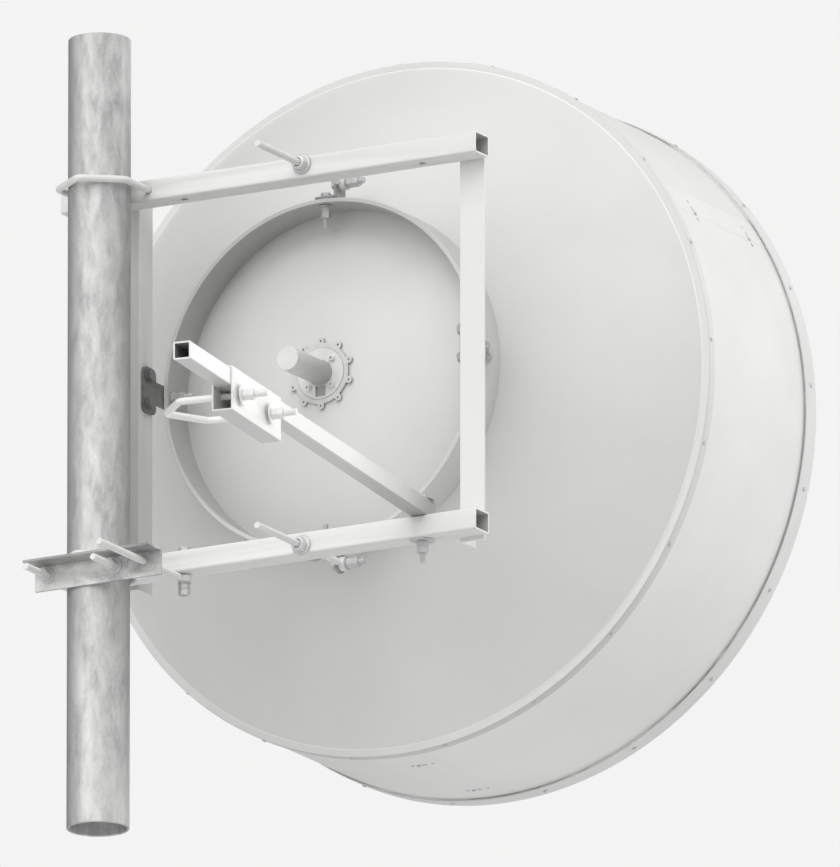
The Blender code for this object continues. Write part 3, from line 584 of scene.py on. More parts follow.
def shade_tube(tube, under, inside, centre, size, frame=Matrix()):
    """Paints shade on a tube's underside and its inside. The centre and size are in the tube's
    frame.
    """
    back = frame.inverted()

    def hollow(place, normal):
        return all(
            abs(at - middle) < full / 2 - (END_INSET if full == max(size) else WALL_INSET)
            for at, middle, full in zip(back @ place, centre, size)
        )

    # painted shade on the faces that look down
    repaint(tube, under, lambda place, normal: normal.z < -0.7)
    # painted shade on the faces inside the hollow
    repaint(tube, inside, hollow)
    bevelled(tube, 0.0005)


def bevelled(obj, width):
    """Rounds a piece's sharp edges."""
    modifier = obj.modifiers.new("edges", "BEVEL")
    modifier.width = width
    modifier.segments = 2
    modifier.limit_method = "ANGLE"
    modifier.angle_limit = math.radians(35)
    modifier.harden_normals = False


def off_axis(place):
    return math.hypot(place.x - DISH_X, place.z - DISH_Z)


def turn_of(place):
    """The turn of a place round the dish's axis, from +X toward +Z."""
    return math.atan2(place.z - DISH_Z, place.x - DISH_X)


def dish_place(radius, turn, depth):
    """A place round the dish's axis, and the way out from the axis there."""
    out = Vector((math.cos(turn), 0, math.sin(turn)))
    return Vector((DISH_X, depth, DISH_Z)) + out * radius, out


def rectangle(left, low, right, high):
    return [(left, low), (right, low), (right, high), (left, high)]


def rounded(points, radius, steps=3, closed=True):
    """A path in the plane with its corners rounded."""
    points = [Vector(point) for point in points]
    count = len(points)
    path = []
    for i, corner in enumerate(points):
        if not closed and i in (0, count - 1):
            path.append(corner)
            continue
        before, after = points[i - 1], points[(i + 1) % count]
        back, ahead = before - corner, after - corner
        reach = min(radius, back.length * 0.45, ahead.length * 0.45)
        back, ahead = back.normalized(), ahead.normalized()
        half = back.angle(ahead) / 2
        if half > math.radians(85):
            path.append(corner)
            continue
        run = min(reach / math.tan(half), reach * 1.5)
        size = run * math.tan(half)
        centre = corner + (back + ahead).normalized() * size / math.sin(half)
        start, end = corner + back * run - centre, corner + ahead * run - centre
        for k in range(steps + 1):
            path.append(centre + start.lerp(end, k / steps).normalized() * size)
    return path


def arc(centre, radius, start, end, steps):
    points = []
    for i in range(steps + 1):
        angle = math.radians(start + (end - start) * i / steps)
        x = centre[0] + radius * math.cos(angle)
        points.append((x, centre[1] + radius * math.sin(angle)))
    return points


def circle(radius, centre=(0, 0), steps=32):
    return arc(centre, radius, 0, 360 * (1 - 1 / steps), steps - 1)


def ring(bm, places):
    return [bm.verts.new(place) for place in places]


def around(radius, height, steps):
    """Places round local Z. The radius is a number, or a function of the turn."""
    places = []
    for i in range(steps):
        turn = TAU * i / steps
        size = radius(turn) if callable(radius) else radius
        places.append(Vector((size * math.cos(turn), size * math.sin(turn), height)))
    return places


def skin(bm, rings, loop_ends=False):
    """Faces between rings of vertices, each as long as the next."""
    pairs = list(zip(rings, rings[1:]))
    if loop_ends:
        pairs.append((rings[-1], rings[0]))
    for low, high in pairs:
        for i in range(len(low)):
            j = (i + 1) % len(low)
            if len({low[i], low[j], high[j], high[i]}) == 4:
                bm.faces.new((low[i], low[j], high[j], high[i]))


def capped(bm, rings):
    """A skin over the rings, closed at both ends."""
    skin(bm, rings)
    bm.faces.new(rings[0])
    bm.faces.new(rings[-1])
    return bm


def lathe(rows, steps=96):
    """A closed profile of (radius, height), turned about local Z."""
    bm = bmesh.new()
    skin(bm, [ring(bm, around(*row, steps)) for row in rows], True)
    return bm


def turned_solid(rows, steps=64):
    """A solid through rows of (radius, height), turned about local Z."""
    bm = bmesh.new()
    return capped(bm, [ring(bm, around(*row, steps)) for row in rows])


def band_profile(inner, outer, low, high, edge=0):
    """The profile of a tube or a washer, with its corners chamfered."""
    if not edge:
        return [(inner, high), (outer, high), (outer, low), (inner, low)]
    return [
        *((inner, high - edge), (inner + edge, high), (outer - edge, high), (outer, high - edge)),
        *((outer, low + edge), (outer - edge, low), (inner + edge, low), (inner, low + edge)),
    ]


def outline_solid(loops, thickness):
    """A flat outline with its holes, of this thickness, about local Z."""
    curve = bpy.data.curves.new("outline", "CURVE")
    curve.dimensions = "2D"
    curve.fill_mode = "BOTH"
    curve.extrude = thickness / 2 * FILL_SCALE
    for loop in loops:
        spline = curve.splines.new("POLY")
        spline.points.add(len(loop) - 1)
        for point, place in zip(spline.points, loop):
            point.co = (place[0] * FILL_SCALE, place[1] * FILL_SCALE, 0, 1)
        spline.use_cyclic_u = True
    flat = in_scene("outline", curve)
    graph = bpy.context.evaluated_depsgraph_get()
    bm = bmesh.new()
    mesh = bpy.data.meshes.new_from_object(flat.evaluated_get(graph))
    bm.from_mesh(mesh)
    bmesh.ops.scale(bm, vec=(1 / FILL_SCALE,) * 3, verts=bm.verts)
    bmesh.ops.remove_doubles(bm, verts=bm.verts, dist=0.00001)
    bpy.data.objects.remove(flat)
    bpy.data.curves.remove(curve)
    bpy.data.meshes.remove(mesh)
    return bm


def add_cylinder(bm, centre, axis, radius, length, steps=32):
    where = placed(centre, axis)
    sizes = {"radius1": radius, "radius2": radius, "depth": length, "matrix": where}
    bmesh.ops.create_cone(bm, cap_ends=True, segments=steps, **sizes)


def drill(obj, centre, axis, radius, length):
    bm = bmesh.new()
    add_cylinder(bm, centre, axis, radius, length)
    cut(obj, bm)


def cut(obj, bm):
    """Cuts a mesh away now, so that nothing is left of the cutter."""
    cutter = bpy.data.meshes.new("cutter")
    bm.to_mesh(cutter)
    bm.free()
    tool = in_scene("cutter", cutter)
    modifier = obj.modifiers.new("hole", "BOOLEAN")
    modifier.object = tool
    modifier.operation = "DIFFERENCE"
    modifier.solver = "EXACT"
    bpy.context.view_layer.update()
    graph = bpy.context.evaluated_depsgraph_get()
    done = bpy.data.meshes.new_from_object(obj.evaluated_get(graph))
    obj.modifiers.remove(modifier)
    old = obj.data
    obj.data = done
    bpy.data.meshes.remove(old)
    bpy.data.objects.remove(tool)
    bpy.data.meshes.remove(cutter)
    done.name = obj.name


# --- Hexagons, threads and rods ---


def hex_at(radius):
    flat = radius * math.cos(math.pi / 6)
    return lambda turn: flat / math.cos((turn % (math.pi / 3)) - math.pi / 6)


def cut_hex(radius, limit):
    whole = hex_at(radius)
    return lambda turn: min(whole(turn), limit)


def hex_rows(low, high, radius, cut_high=True):
    """Rows of a hexagon with its corners chamfered."""
    steps = (0.0, 0.0003, 0.0006, 0.0010)
    cuts = [(cut_hex(radius, radius * 0.85 + step * 1.75), step) for step in steps]
    rows = [(reach, low + step) for reach, step in cuts]
    if cut_high:
        return rows + [(reach, high - step) for reach, step in reversed(cuts)]
    return rows + [(hex_at(radius), high)]


def washer_rows(low, high, radius):
    edge = min(0.0005, (high - low) / 3)
    small = radius - edge
    return [(small, low), (radius, low + edge), (radius, high - edge), (small, high)]


def thread_rows(low, high, radius):
    """Rows of a screw thread, with a chamfer at its upper end."""
    depth = THREAD * 0.52
    count = max(2, int(round((high - low) / THREAD * 4)))
    rows = []
    for i in range(count + 1):
        height = low + (high - low) * i / count

        def ridge(turn, height=height):
            wave = (height / THREAD - turn / TAU) % 1
            size = radius - depth * abs(2 * wave - 1)
            return min(size, radius - depth * 1.3 + (high - height) * 0.9)

        rows.append((ridge, height))
    return rows


def nut_rows(start, nut, radius):
    """A nut, or a nut and its lock nut when it is tall."""
    if nut < 1.4 * radius:
        return hex_rows(start, start + nut, radius)
    middle = start + nut * 0.48
    rows = hex_rows(start, middle - 0.0001, radius) + [(radius * 0.82, middle)]
    return rows + hex_rows(middle + 0.0001, start + nut, radius)


def bored(rows, bore):
    """Rows that go up the outside of a part and come back down its bore."""
    return rows + [(bore, rows[-1][1]), (bore, rows[0][1])]


def bolt(
    name, seat, axis, grip, body, material, tail=0.016, nut=0.022, washers=WASHER_R, small=False
):
    """A bolt with its head at the seat, two washers, and a nut or two past its grip."""
    shank, head = (RING_SHANK_R, RING_HEAD_R) if small else (SHANK_R, HEAD_R)
    under, bottom = -GAP - WASHER_THICK, grip + GAP
    rows = hex_rows(under - HEAD_HEIGHT, under, head, False)
    rows += washer_rows(under, -GAP, washers)
    rows += [(shank, -GAP), (shank, bottom)]
    start = bottom + WASHER_THICK
    rows += washer_rows(bottom, start, washers) + nut_rows(start, nut, head)
    rows += thread_rows(start + nut, start + nut + tail, shank)
    piece(name, turned_solid(rows, 36), placed(seat, axis), material, body, [name], 25)


def washered_nut(name, seat, axis, body, material, washer=0.0145, spacer=0):
    """A nut and its lock nut on a washer, which may stand on a short spacer."""
    rows = washer_rows(GAP, GAP + spacer, SPACER_R) if spacer else []
    start = GAP + spacer + WASHER_THICK
    rows += washer_rows(GAP + spacer, start, washer)
    rows += nut_rows(start, DOUBLE_NUT, HEAD_R)
    rows.append((ROD_R + 0.0015, start + DOUBLE_NUT))
    bm = lathe(bored(rows, ROD_R + GAP), 36)
    piece(name, bm, placed(seat, axis), material, body, [name], 25)


def rod_nut(name, seat, axis, body):
    """A large nut on a domed washer, with room for a rod that swings."""
    washer, thick, nut, height, crown = 0.0190, 0.0040, 0.0145, 0.0145, 0.0052
    top = GAP + thick + height
    rows = [
        (washer - 0.0006, GAP),
        (washer, GAP + 0.0006),
        (washer - 0.0003, GAP + thick * 0.55),
        (washer - 0.0013, GAP + thick * 0.85),
        (washer - 0.0028, GAP + thick),
        (hex_at(nut), GAP + thick),
    ]
    for step in range(8):
        angle = math.radians(step * 10 + 10)
        limit = nut - crown * (1 - math.cos(angle))
        rows.append((cut_hex(nut, limit), top - crown * (1 - math.sin(angle))))
    rows.append((NUT_BORE_R + 0.0015, top))
    where = placed(seat, axis)
    whole = piece(name, lathe(bored(rows, NUT_BORE_R), 48), where, NUT_PAINT, body, [name], 40)
    back = where.inverted()
    repaint(whole, PLATED, lambda place, normal: (back @ place).z < GAP + thick * 0.9)


def swept(path, normal, reach, sides=20):
    """A tube along a flat path. reach(distance along, turn) is its radius there."""
    bm = bmesh.new()
    rings = []
    along = 0.0
    for i, point in enumerate(path):
        ahead = path[min(i + 1, len(path) - 1)] - point
        back = point - path[max(i - 1, 0)]
        side = (ahead.normalized() + back.normalized()).normalized().cross(normal)
        along += back.length
        places = []
        for k in range(sides):
            turn = TAU * k / sides
            offset = side * math.cos(turn) + normal * math.sin(turn)
            places.append(point + offset * reach(along, turn))
        rings.append(ring(bm, places))
    return capped(bm, rings)


def v_bolt(name, matrix, body, material):
    """In local X and Y: its point is at -Y and its threaded legs end at +Y."""
    bend = VBOLT_DEPTH - VBOLT_APEX
    top = bend + VBOLT_LEG
    corners = [(-VBOLT_HALF, top), (-VBOLT_HALF, bend), (0, -VBOLT_APEX)]
    corners += [(VBOLT_HALF, bend), (VBOLT_HALF, top)]
    bent = [Vector((*point, 0)) for point in rounded(corners, VBOLT_BEND_R, 8, False)]
    step = THREAD / 4
    heights = [top - i * step for i in range(int(VBOLT_THREAD / step))]
    path = [Vector((-VBOLT_HALF, height, 0)) for height in heights] + bent[1:-1]
    path += [Vector((VBOLT_HALF, height, 0)) for height in reversed(heights)]
    whole = sum((b - a).length for a, b in zip(path, path[1:]))

    def reach(along, turn):
        from_end = min(along, whole - along)
        if from_end > VBOLT_THREAD:
            return ROD_R
        wave = (along / THREAD - turn / TAU) % 1
        size = ROD_R - THREAD * 0.5 * abs(2 * wave - 1)
        return min(size, ROD_R - 0.0012 + from_end * 0.8)

    piece(name, swept(path, Z, reach), matrix, material, body, [name], 25)


def eye_rod(name, eye, along, pin_axis, length, body, shift=0, neck=0.005):
    """A threaded rod whose flat eye turns on a pin, with a narrower neck beside the eye."""
    shoulder = EYE_R + 0.006
    rows = [
        (neck, EYE_R - 0.003),
        (neck, shoulder),
        (ROD_R - 0.0008, shoulder),
        (ROD_R, shoulder + 0.0008),
        (ROD_R, shoulder + 0.006),
    ]
    rows += thread_rows(shoulder + 0.0062, length, ROD_R)
    piece(name, turned_solid(rows, 20), placed(eye, along), TUBE_PAINT, body, [name], 25)
    half = EYE_THICK / 2
    bm = lathe(band_profile(EYE_BORE_R, EYE_R, -half, half, 0.0008), 48)
    middle = Vector(eye) + shift * pin_axis
    piece(f"{name}_eye", bm, placed(middle, pin_axis), TUBE_PAINT, body)


# --- Pole and its clamp ---


def make_pole():
    bm = lathe(band_profile(POLE_R - POLE_WALL, POLE_R, 0, POLE_LENGTH, 0.0012), 96)
    piece("pole", bm, Matrix(), POLE_ZINC, "pole", ["mounting_pole"])


def make_pole_clamp():
    back = -POLE_R - POLE_GAP
    face = back - ANGLE_THICK
    outline = [(back - across, -along) for along, across in ANGLE_OUTLINE]
    bm = outline_solid([outline], CLAMP_RIGHT - CLAMP_LEFT)
    where = plane(((CLAMP_LEFT + CLAMP_RIGHT) / 2, 0, CLAMP_TOP_Z), Y, Z)
    clamp = piece("clamp_angle", bm, where, CLAMP_ZINC, "pole", ["pole_clamp_angle"])
    for x in (-VBOLT_HALF, VBOLT_HALF):
        drill(clamp, (x, face, CLAMP_BOLT_Z), Y, BOLT_HOLE_R, 0.03)
    drill(clamp, (AZIMUTH_X, face, AZIMUTH_ROD_Z), Y, ROD_HOLE_R + 0.0005, 0.03)
    edge = back - ANGLE_LEG + 0.0005
    # The horizontal leg's underside and its far edge get painted shade.
    repaint(clamp, CLAMP_UNDER_SHADE, lambda place, normal: normal.z < -0.5 or place.y < edge)
    bevelled(clamp, 0.0008)
    for side, word in SIDES:
        leg = (side * VBOLT_HALF, face, CLAMP_BOLT_Z)
        washered_nut(f"pole_clamp_nut_{word}", leg, -Y, "pole", NUT_PAINT)
    turned_round = placed((0, 0, CLAMP_BOLT_Z)) @ Matrix.Rotation(math.pi, 4, "Z")
    v_bolt("pole_clamp_v_bolt", turned_round, "pole", TUBE_PAINT)
    rod_nut("azimuth_rod_nut", (AZIMUTH_X, back, AZIMUTH_ROD_Z), Y, "pole")
    bore, rim = ROD_R + 0.0009, 0.0112
    grommet = [(bore, 0), (rim, 0), (rim - 0.0004, 0.0005)]
    grommet += [(bore + 0.001, 0.0011), (bore, 0.0009)]
    where = placed((AZIMUTH_X, face, AZIMUTH_ROD_Z), -Y)
    piece("azimuth_grommet", lathe(grommet, 48), where, CLAMP_ZINC, "pole")


# --- Frame ---


def box_loops(width, height, wall, outer=0.004, inner=0.0018):
    across, up = width / 2, height / 2
    return [
        rounded(rectangle(across, up, -across, -up), outer, 5),
        rounded(rectangle(across - wall, up - wall, wall - across, wall - up), inner, 3),
    ]


def make_tube(name, up):
    height = DISH_Z + up * TUBE_RISE
    middle = ((TUBE_LEFT + TUBE_RIGHT) / 2, TUBE_Y, height)
    size = (TUBE_RIGHT - TUBE_LEFT, TUBE_DEPTH, TUBE_HEIGHT)
    bm = outline_solid(box_loops(TUBE_DEPTH, TUBE_HEIGHT, TUBE_WALL), size[0])
    tube = piece(name + "_body", bm, plane(middle, Y, Z), TUBE_PAINT, "mount_frame", [name])
    through = 2 * TUBE_DEPTH
    for side, _ in SIDES:
        drill(tube, (side * VBOLT_HALF, TUBE_Y, height), Y, BOLT_HOLE_R, through)
    drill(tube, (DISH_X + ROD_X, TUBE_Y, DISH_Z + up * ROD_RISE), Y, ROD_HOLE_R, through)
    for x in (AZIMUTH_X, STRUT_X):
        drill(tube, (x, TUBE_Y, height), Z, BOLT_HOLE_R, through)
    shade_tube(tube, TUBE_UNDER_SHADE, TUBE_SHADE, middle, size)


def make_upright(name, side):
    bm = outline_solid([[(side * u, v) for u, v in ANGLE_OUTLINE]], 2 * ANGLE_HALF)
    where = plane((DISH_X + side * ANGLE_REACH, ANGLE_Y, DISH_Z), X, Y)
    # The left upright gets paint with painted shade toward its bottom.
    paint = LEFT_UPRIGHT_SHADE_PAINT if side < 0 else TUBE_PAINT
    upright = piece(name + "_angle", bm, where, paint, "mount_frame", [name])
    for place in plate_bolt_places(side):
        drill(upright, place, X, BOLT_HOLE_R, 0.03)
    bevelled(upright, 0.0008)


def plate_bolt_places(side):
    x = DISH_X + side * (ANGLE_REACH + ANGLE_THICK / 2)
    y = ANGLE_Y + ANGLE_LEG / 2
    return [(x, y, DISH_Z + up * PLATE_BOLT_RISE) for up, _ in LEVELS]


def make_pivot_plate(name, side):
    thick = ANGLE_REACH - RING_R - 3 * GAP
    where = plane((DISH_X + side * (ANGLE_REACH - GAP - thick / 2), TILT_Y, DISH_Z), Y, Z)
    left, right = ANGLE_Y - TILT_Y + 0.0085, -0.045
    stem, half, corner, fillet = 0.021, 0.043, 0.012, 0.004
    outline = arc((0, 0), stem, -90, 90, 24)
    outline += arc((right + fillet, stem + fillet), fillet, 270, 180, 4)
    outline += arc((right - corner, half - corner), corner, 0, 90, 8)
    outline += arc((left + corner, half - corner), corner, 90, 180, 8)
    outline += arc((left + corner, corner - half), corner, 180, 270, 8)
    outline += arc((right - corner, corner - half), corner, 270, 360, 8)
    outline += arc((right + fillet, -stem - fillet), fillet, 180, 90, 4)
    holes = [circle(RING_HOLE_R)]
    for _, y, z in plate_bolt_places(side):
        holes.append(circle(BOLT_HOLE_R, (y - TILT_Y, z - DISH_Z)))
    bm = outline_solid([outline] + holes, thick)
    material = DARK if side < 0 else GREY_STEEL
    bevelled(piece(name + "_t", bm, where, material, "mount_frame", [name]), 0.0006)


def make_frame_bolts():
    body = "mount_frame"
    grip = ANGLE_REACH + ANGLE_THICK - RING_R - 2 * GAP
    for side, word in SIDES:
        material = DARK if side < 0 else GREY_STEEL
        for (_, y, z), (_, level) in zip(plate_bolt_places(side), LEVELS):
            seat = (DISH_X + side * (RING_R + 2 * GAP), y, z)
            name = f"{word}_plate_bolt_{level}"
            bolt(name, seat, side * X, grip, body, material, 0.004, NUT_HEIGHT)
    rear, front = TUBE_Y + TUBE_DEPTH / 2, TUBE_Y - TUBE_DEPTH / 2
    for up, level in LEVELS:
        height = DISH_Z + up * TUBE_RISE
        v_bolt(f"{level}_v_bolt", placed((0, 0, height)), body, TUBE_PAINT)
        for side, word in SIDES:
            seat = (side * VBOLT_HALF, rear, height)
            washered_nut(f"{level}_v_bolt_nut_{word}", seat, Y, body, PLATED)
        for y, axis, word in ((front, -Y, "rear"), (rear, Y, "front")):
            seat = (DISH_X + ROD_X, y, DISH_Z + up * ROD_RISE)
            rod_nut(f"{level}_rod_nut_{word}", seat, axis, body)
    top = DISH_Z - TUBE_RISE + TUBE_HEIGHT / 2
    bottom = top - TUBE_HEIGHT
    grip = top - (AZIMUTH_ROD_Z - EYE_THICK / 2) + GAP
    bolt("azimuth_eye_bolt", (AZIMUTH_X, TUBE_Y, top), -Z, grip, body, PLATED, tail=0.002)
    half = 0.001
    collar = lathe(band_profile(SHANK_R, 0.010, -half, half), 48)
    where = placed((AZIMUTH_X, TUBE_Y, bottom - GAP - half))
    piece("azimuth_collar", collar, where, PLATED, body)
    top = STRUT_BOTTOM_Z + STRUT_SIDE
    seat = (STRUT_X, TUBE_Y, top)
    bolt("strut_pivot_bolt", seat, -Z, top - bottom, body, PLATED, tail=0.017, washers=0.022)


# --- Dish ---

DISH_AXIS = placed((DISH_X, 0, DISH_Z), Y)


def dish_piece(name, bm, material, nodes=(), angle=30):
    return piece(name, bm, DISH_AXIS, material, "dish", nodes, angle)


def bowl_y(radius):
    return VERTEX_Y + radius**2 / (4 * FOCAL)


def make_reflector():
    count = 40
    radii = [BOWL_HOLE_R + (BOWL_R - BOWL_HOLE_R) * i / count for i in range(count)]
    lip, bend = RIM_Y + LIP_DEPTH, 0.0025
    inside = RIM_R - SKIN + GAP
    profile = [(inside, lip), (RIM_R - 0.0006, lip), (RIM_R, lip - 0.0006)]
    for turn in (0.0, 0.4, 0.8, 1.2, math.pi / 2):
        across = RIM_R - bend + bend * math.cos(turn)
        profile.append((across, RIM_Y + bend - bend * math.sin(turn)))
    profile += [(BOWL_R + 0.001, RIM_Y)]
    profile += [(radius, bowl_y(radius)) for radius in reversed(radii)]
    profile += [(radius, bowl_y(radius) + SKIN) for radius in radii]
    profile += [(BOWL_R + 0.001, RIM_Y + SKIN), (inside, RIM_Y + SKIN)]
    bowl = dish_piece("bowl", lathe(profile, 192), BOWL_PAINT, ["reflector"], 38)
    # painted shade on the rim's lip
    repaint(bowl, LIP_SHADE, lambda place, normal: off_axis(place) > RIM_R - 0.0006)
    bead = []
    for step in range(12):
        turn = TAU * step / 12
        across = 0.0026 * math.cos(turn)
        height = RIM_Y - 0.0009 + 0.45 * across - 0.0013 * math.sin(turn)
        bead.append((BOWL_R - 0.0016 + across, height))
    # The rim bead is painted lighter than the bowl: a painted highlight.
    dish_piece("rim_bead", lathe(bead, 192), BEAD_HIGHLIGHT, angle=60)


def make_mounting_ring():
    inner = RING_R - RING_WALL
    edge = 0.001
    profile = [(radius, bowl_y(radius) - 2 * GAP) for radius in (inner, RING_R)]
    profile += [(RING_R, RING_Y + edge), (RING_R - edge, RING_Y)]
    profile += [(inner + edge, RING_Y), (inner, RING_Y + edge)]
    whole = dish_piece("ring", lathe(profile, 160), RING_PAINT, ["mounting_ring"])
    repaint(whole, RING_SHADE, lambda place, normal: off_axis(place) < inner + 0.0005)
    for axis in (X, -X, Z, -Z):
        drill(whole, TILT_CENTRE + axis * RING_R, axis, RING_HOLE_R, 0.04)
    weld_ring("ring_weld_outer", RING_R, 1)
    weld_ring("ring_weld_inner", inner, -1)


def weld_ring(name, radius, side):
    """A rippled weld bead where the ring meets the bowl."""
    bm = bmesh.new()
    rings = []
    count, size = 720, 0.0012
    slope = radius / (2 * FOCAL)
    for i in range(count):
        turn = TAU * i / count
        ripple = 1 + 0.10 * math.sin(i * 2.1) + 0.12 * noise.noise((i * 0.35, 0, side))
        out = Vector((math.cos(turn), math.sin(turn), 0))
        base = out * radius + Z * (bowl_y(radius) - 2 * GAP)
        along = (out + Z * slope).normalized() * side
        places = []
        for bend in map(math.radians, (0, 30, 60, 90)):
            offset = along * math.cos(bend) - Z * math.sin(bend)
            places.append(base + offset * size * ripple)
        places.append(base - out * side * 0.001 + Z * 0.0003)
        rings.append(ring(bm, places))
    skin(bm, rings, True)
    dish_piece(name, bm, RING_PAINT, angle=60)


def make_shroud():
    back = RIM_Y + SKIN + GAP
    inner = SHROUD_R - SHROUD_SHEET
    bm = lathe(band_profile(inner, SHROUD_R, back, SHROUD_FRONT_Y), 192)
    sheet = dish_piece("shroud_sheet", bm, SHROUD_PAINT, ["shroud"])
    seam, end = (math.radians(turn + SEAM_LAP) for turn in SEAM_TURNS[:2])
    # painted shade on the panel between the first two seams
    repaint(sheet, PANEL_SHADE, lambda place, normal: seam < turn_of(place) < end)
    outer, edge = inner - GAP, 0.003
    front = SHROUD_FRONT_Y - 0.020
    back += 0.004
    thin = outer - LINING_THICK
    lining = [(thin + edge, front), (outer, front), (outer, back)]
    lining += [(thin + edge, back), (thin, back + edge), (thin, front - edge)]
    dish_piece("lining", lathe(lining, 128), FOAM, ["absorber_lining"])


def tucked(turn):
    """How far the radome's skirt reaches to the band's edge, from 0 to 1, round the dish."""
    wave = noise.noise((4.0 * math.cos(turn), 4.0 * math.sin(turn), 7.3))
    wave += 0.7 * noise.noise((23.0 * math.cos(turn), 23.0 * math.sin(turn), 1.1))
    pull = max(0.0, 1.0 - ((math.degrees(turn) - TUCK_TURN) / TUCK_HALF) ** 2)
    return min(1.0, max(0.0, 0.25 + 1.6 * wave + 3.0 * pull))


def make_radome():
    skirt = SHROUD_R + GAP
    outside = skirt + RADOME_SHEET
    back, face = FRONT_Y - BAND_DEPTH + TUCK, FRONT_Y - 0.0035
    count = 20
    dome = []
    for part in (i / count for i in range(1, count)):
        dome.append((SHROUD_R * part, face + RADOME_BULGE * (1 - part**2)))
    outline = dome + [(outside - 0.0012, face + 0.0006), (outside, face - 0.0008)]
    outline += [(outside, back), (skirt, back), (skirt, face - RADOME_SHEET)]
    outline += [(radius, height - RADOME_SHEET) for radius, height in reversed(dome)]
    sheet = dish_piece("radome_sheet", turned_solid(outline, 192), LAMINATE, ["radome"])
    # The skirt's back edge, in the recess beside the band, is painted light over the shade there.
    repaint(sheet, BEAD_HIGHLIGHT, lambda place, normal: normal.y < -0.9)
    for vertex in sheet.data.vertices:
        if vertex.co.y < back + 0.0005:
            vertex.co.y -= TUCK * tucked(turn_of(vertex.co))
    inner, edge = outside + GAP, 0.0005
    outer, rear = inner + 0.002, FRONT_Y - BAND_DEPTH
    band = [(inner, FRONT_Y), (outer - edge, FRONT_Y), (outer, FRONT_Y - edge)]
    band += [(outer, rear + edge), (outer - edge, rear), (inner, rear)]
    dish_piece("band", lathe(band, 192), BAND_PAINT, ["radome_band"])


def add_screw(bm, place, out, height):
    """A pan head with a cross recess hinted by a dished top."""
    matrix = placed(place, out)
    rings = []
    for wide, high in SCREW_HEAD:
        places = around(SCREW_R * wide, height * high, 16)
        rings.append(ring(bm, [matrix @ place for place in places]))
    capped(bm, rings)


def make_edge_screws():
    """The screws round the rim and round the radome's band, each row as one piece."""
    for name, radius, depth in EDGE_SCREWS:
        bm = bmesh.new()
        for i in range(SCREW_COUNT):
            turn = SCREW_PHASE + i * TAU / SCREW_COUNT
            add_screw(bm, *dish_place(radius, turn, depth), 0.0026)
        piece(name, bm, Matrix(), PLATED, "dish")


def strip(bm, turns, depths, radius, thick):
    """A curved plate round the dish's axis, between two turns and two depths."""
    steps = max(1, int((turns[1] - turns[0]) / 0.5))
    corners = rectangle(radius, depths[0], radius + thick, depths[1])
    rings = []
    for i in range(steps + 1):
        turn = math.radians(turns[0] + (turns[1] - turns[0]) * i / steps)
        rings.append(ring(bm, [dish_place(reach, turn, y)[0] for reach, y in corners]))
    capped(bm, rings)


def make_seams():
    """The shroud's three lap joints, each with two rows of slots painted as dark strips of shade,
    and a screw in each row.
    """
    straps, slots, screws = bmesh.new(), bmesh.new(), bmesh.new()
    top, thick = SHROUD_R + 0.0003, 0.0005
    ends = (RIM_Y + LIP_DEPTH + 0.002, FRONT_Y - BAND_DEPTH - 0.002)
    for turn in SEAM_TURNS:
        strip(straps, (turn - 0.35, turn + SEAM_LAP), ends, SHROUD_R - 0.0003, thick)
        for depth in SEAM_CLIPS:
            span = (depth - 0.0015, depth + 0.0015)
            for start, end in SLOT_TURNS:
                # each slot is a thin dark strip on the sheet: painted shade
                strip(slots, (turn + start, turn + end), span, top - 0.0004, thick)
            add_screw(screws, *dish_place(top, math.radians(turn), depth), 0.0030)
    piece("seam_straps", straps, Matrix(), SHROUD_PAINT, "dish")
    piece("seam_slots", slots, Matrix(), SLOT_SHADE, "dish")
    piece("seam_screws", screws, Matrix(), PLATED, "dish")


def hub_edge(inset):
    """The hub plate's outline, a little inside it: a disc with lobes round it."""

    def reach(turn):
        pitch = TAU / HUB_LOBES
        off = (turn - math.pi / 2 + pitch / 2) % pitch - pitch / 2
        across = (LOBE_R - inset) ** 2 - (LOBE_CENTRE_R * math.sin(off)) ** 2
        size = HUB_BASE_R - inset
        if across > 0:
            size = max(size, LOBE_CENTRE_R * math.cos(off) + math.sqrt(across))
        return size

    return reach


def make_hub():
    edge = 0.0005
    rows = [(hub_edge(0), 0), (hub_edge(0), HUB_THICK - edge), (hub_edge(edge), HUB_THICK)]
    bm = lathe(bored(rows, FEED_DISC_R + 2 * GAP), 720)
    where = placed((DISH_X, HUB_Y + HUB_THICK, DISH_Z), -Y)
    hub = piece("hub_plate", bm, where, ALLOY, "dish", ["hub_ring"])
    holes = bmesh.new()
    for lobe in range(HUB_LOBES):
        place, _ = dish_place(LOBE_CENTRE_R, math.pi / 2 + lobe * TAU / HUB_LOBES, HUB_Y)
        add_cylinder(holes, place, Y, LOBE_HOLE_R, 0.006, 24)
    cut(hub, holes)
    # The hub's edges get painted shade.
    repaint(hub, ALLOY_SHADE, lambda place, normal: abs(normal.y) < 0.5)


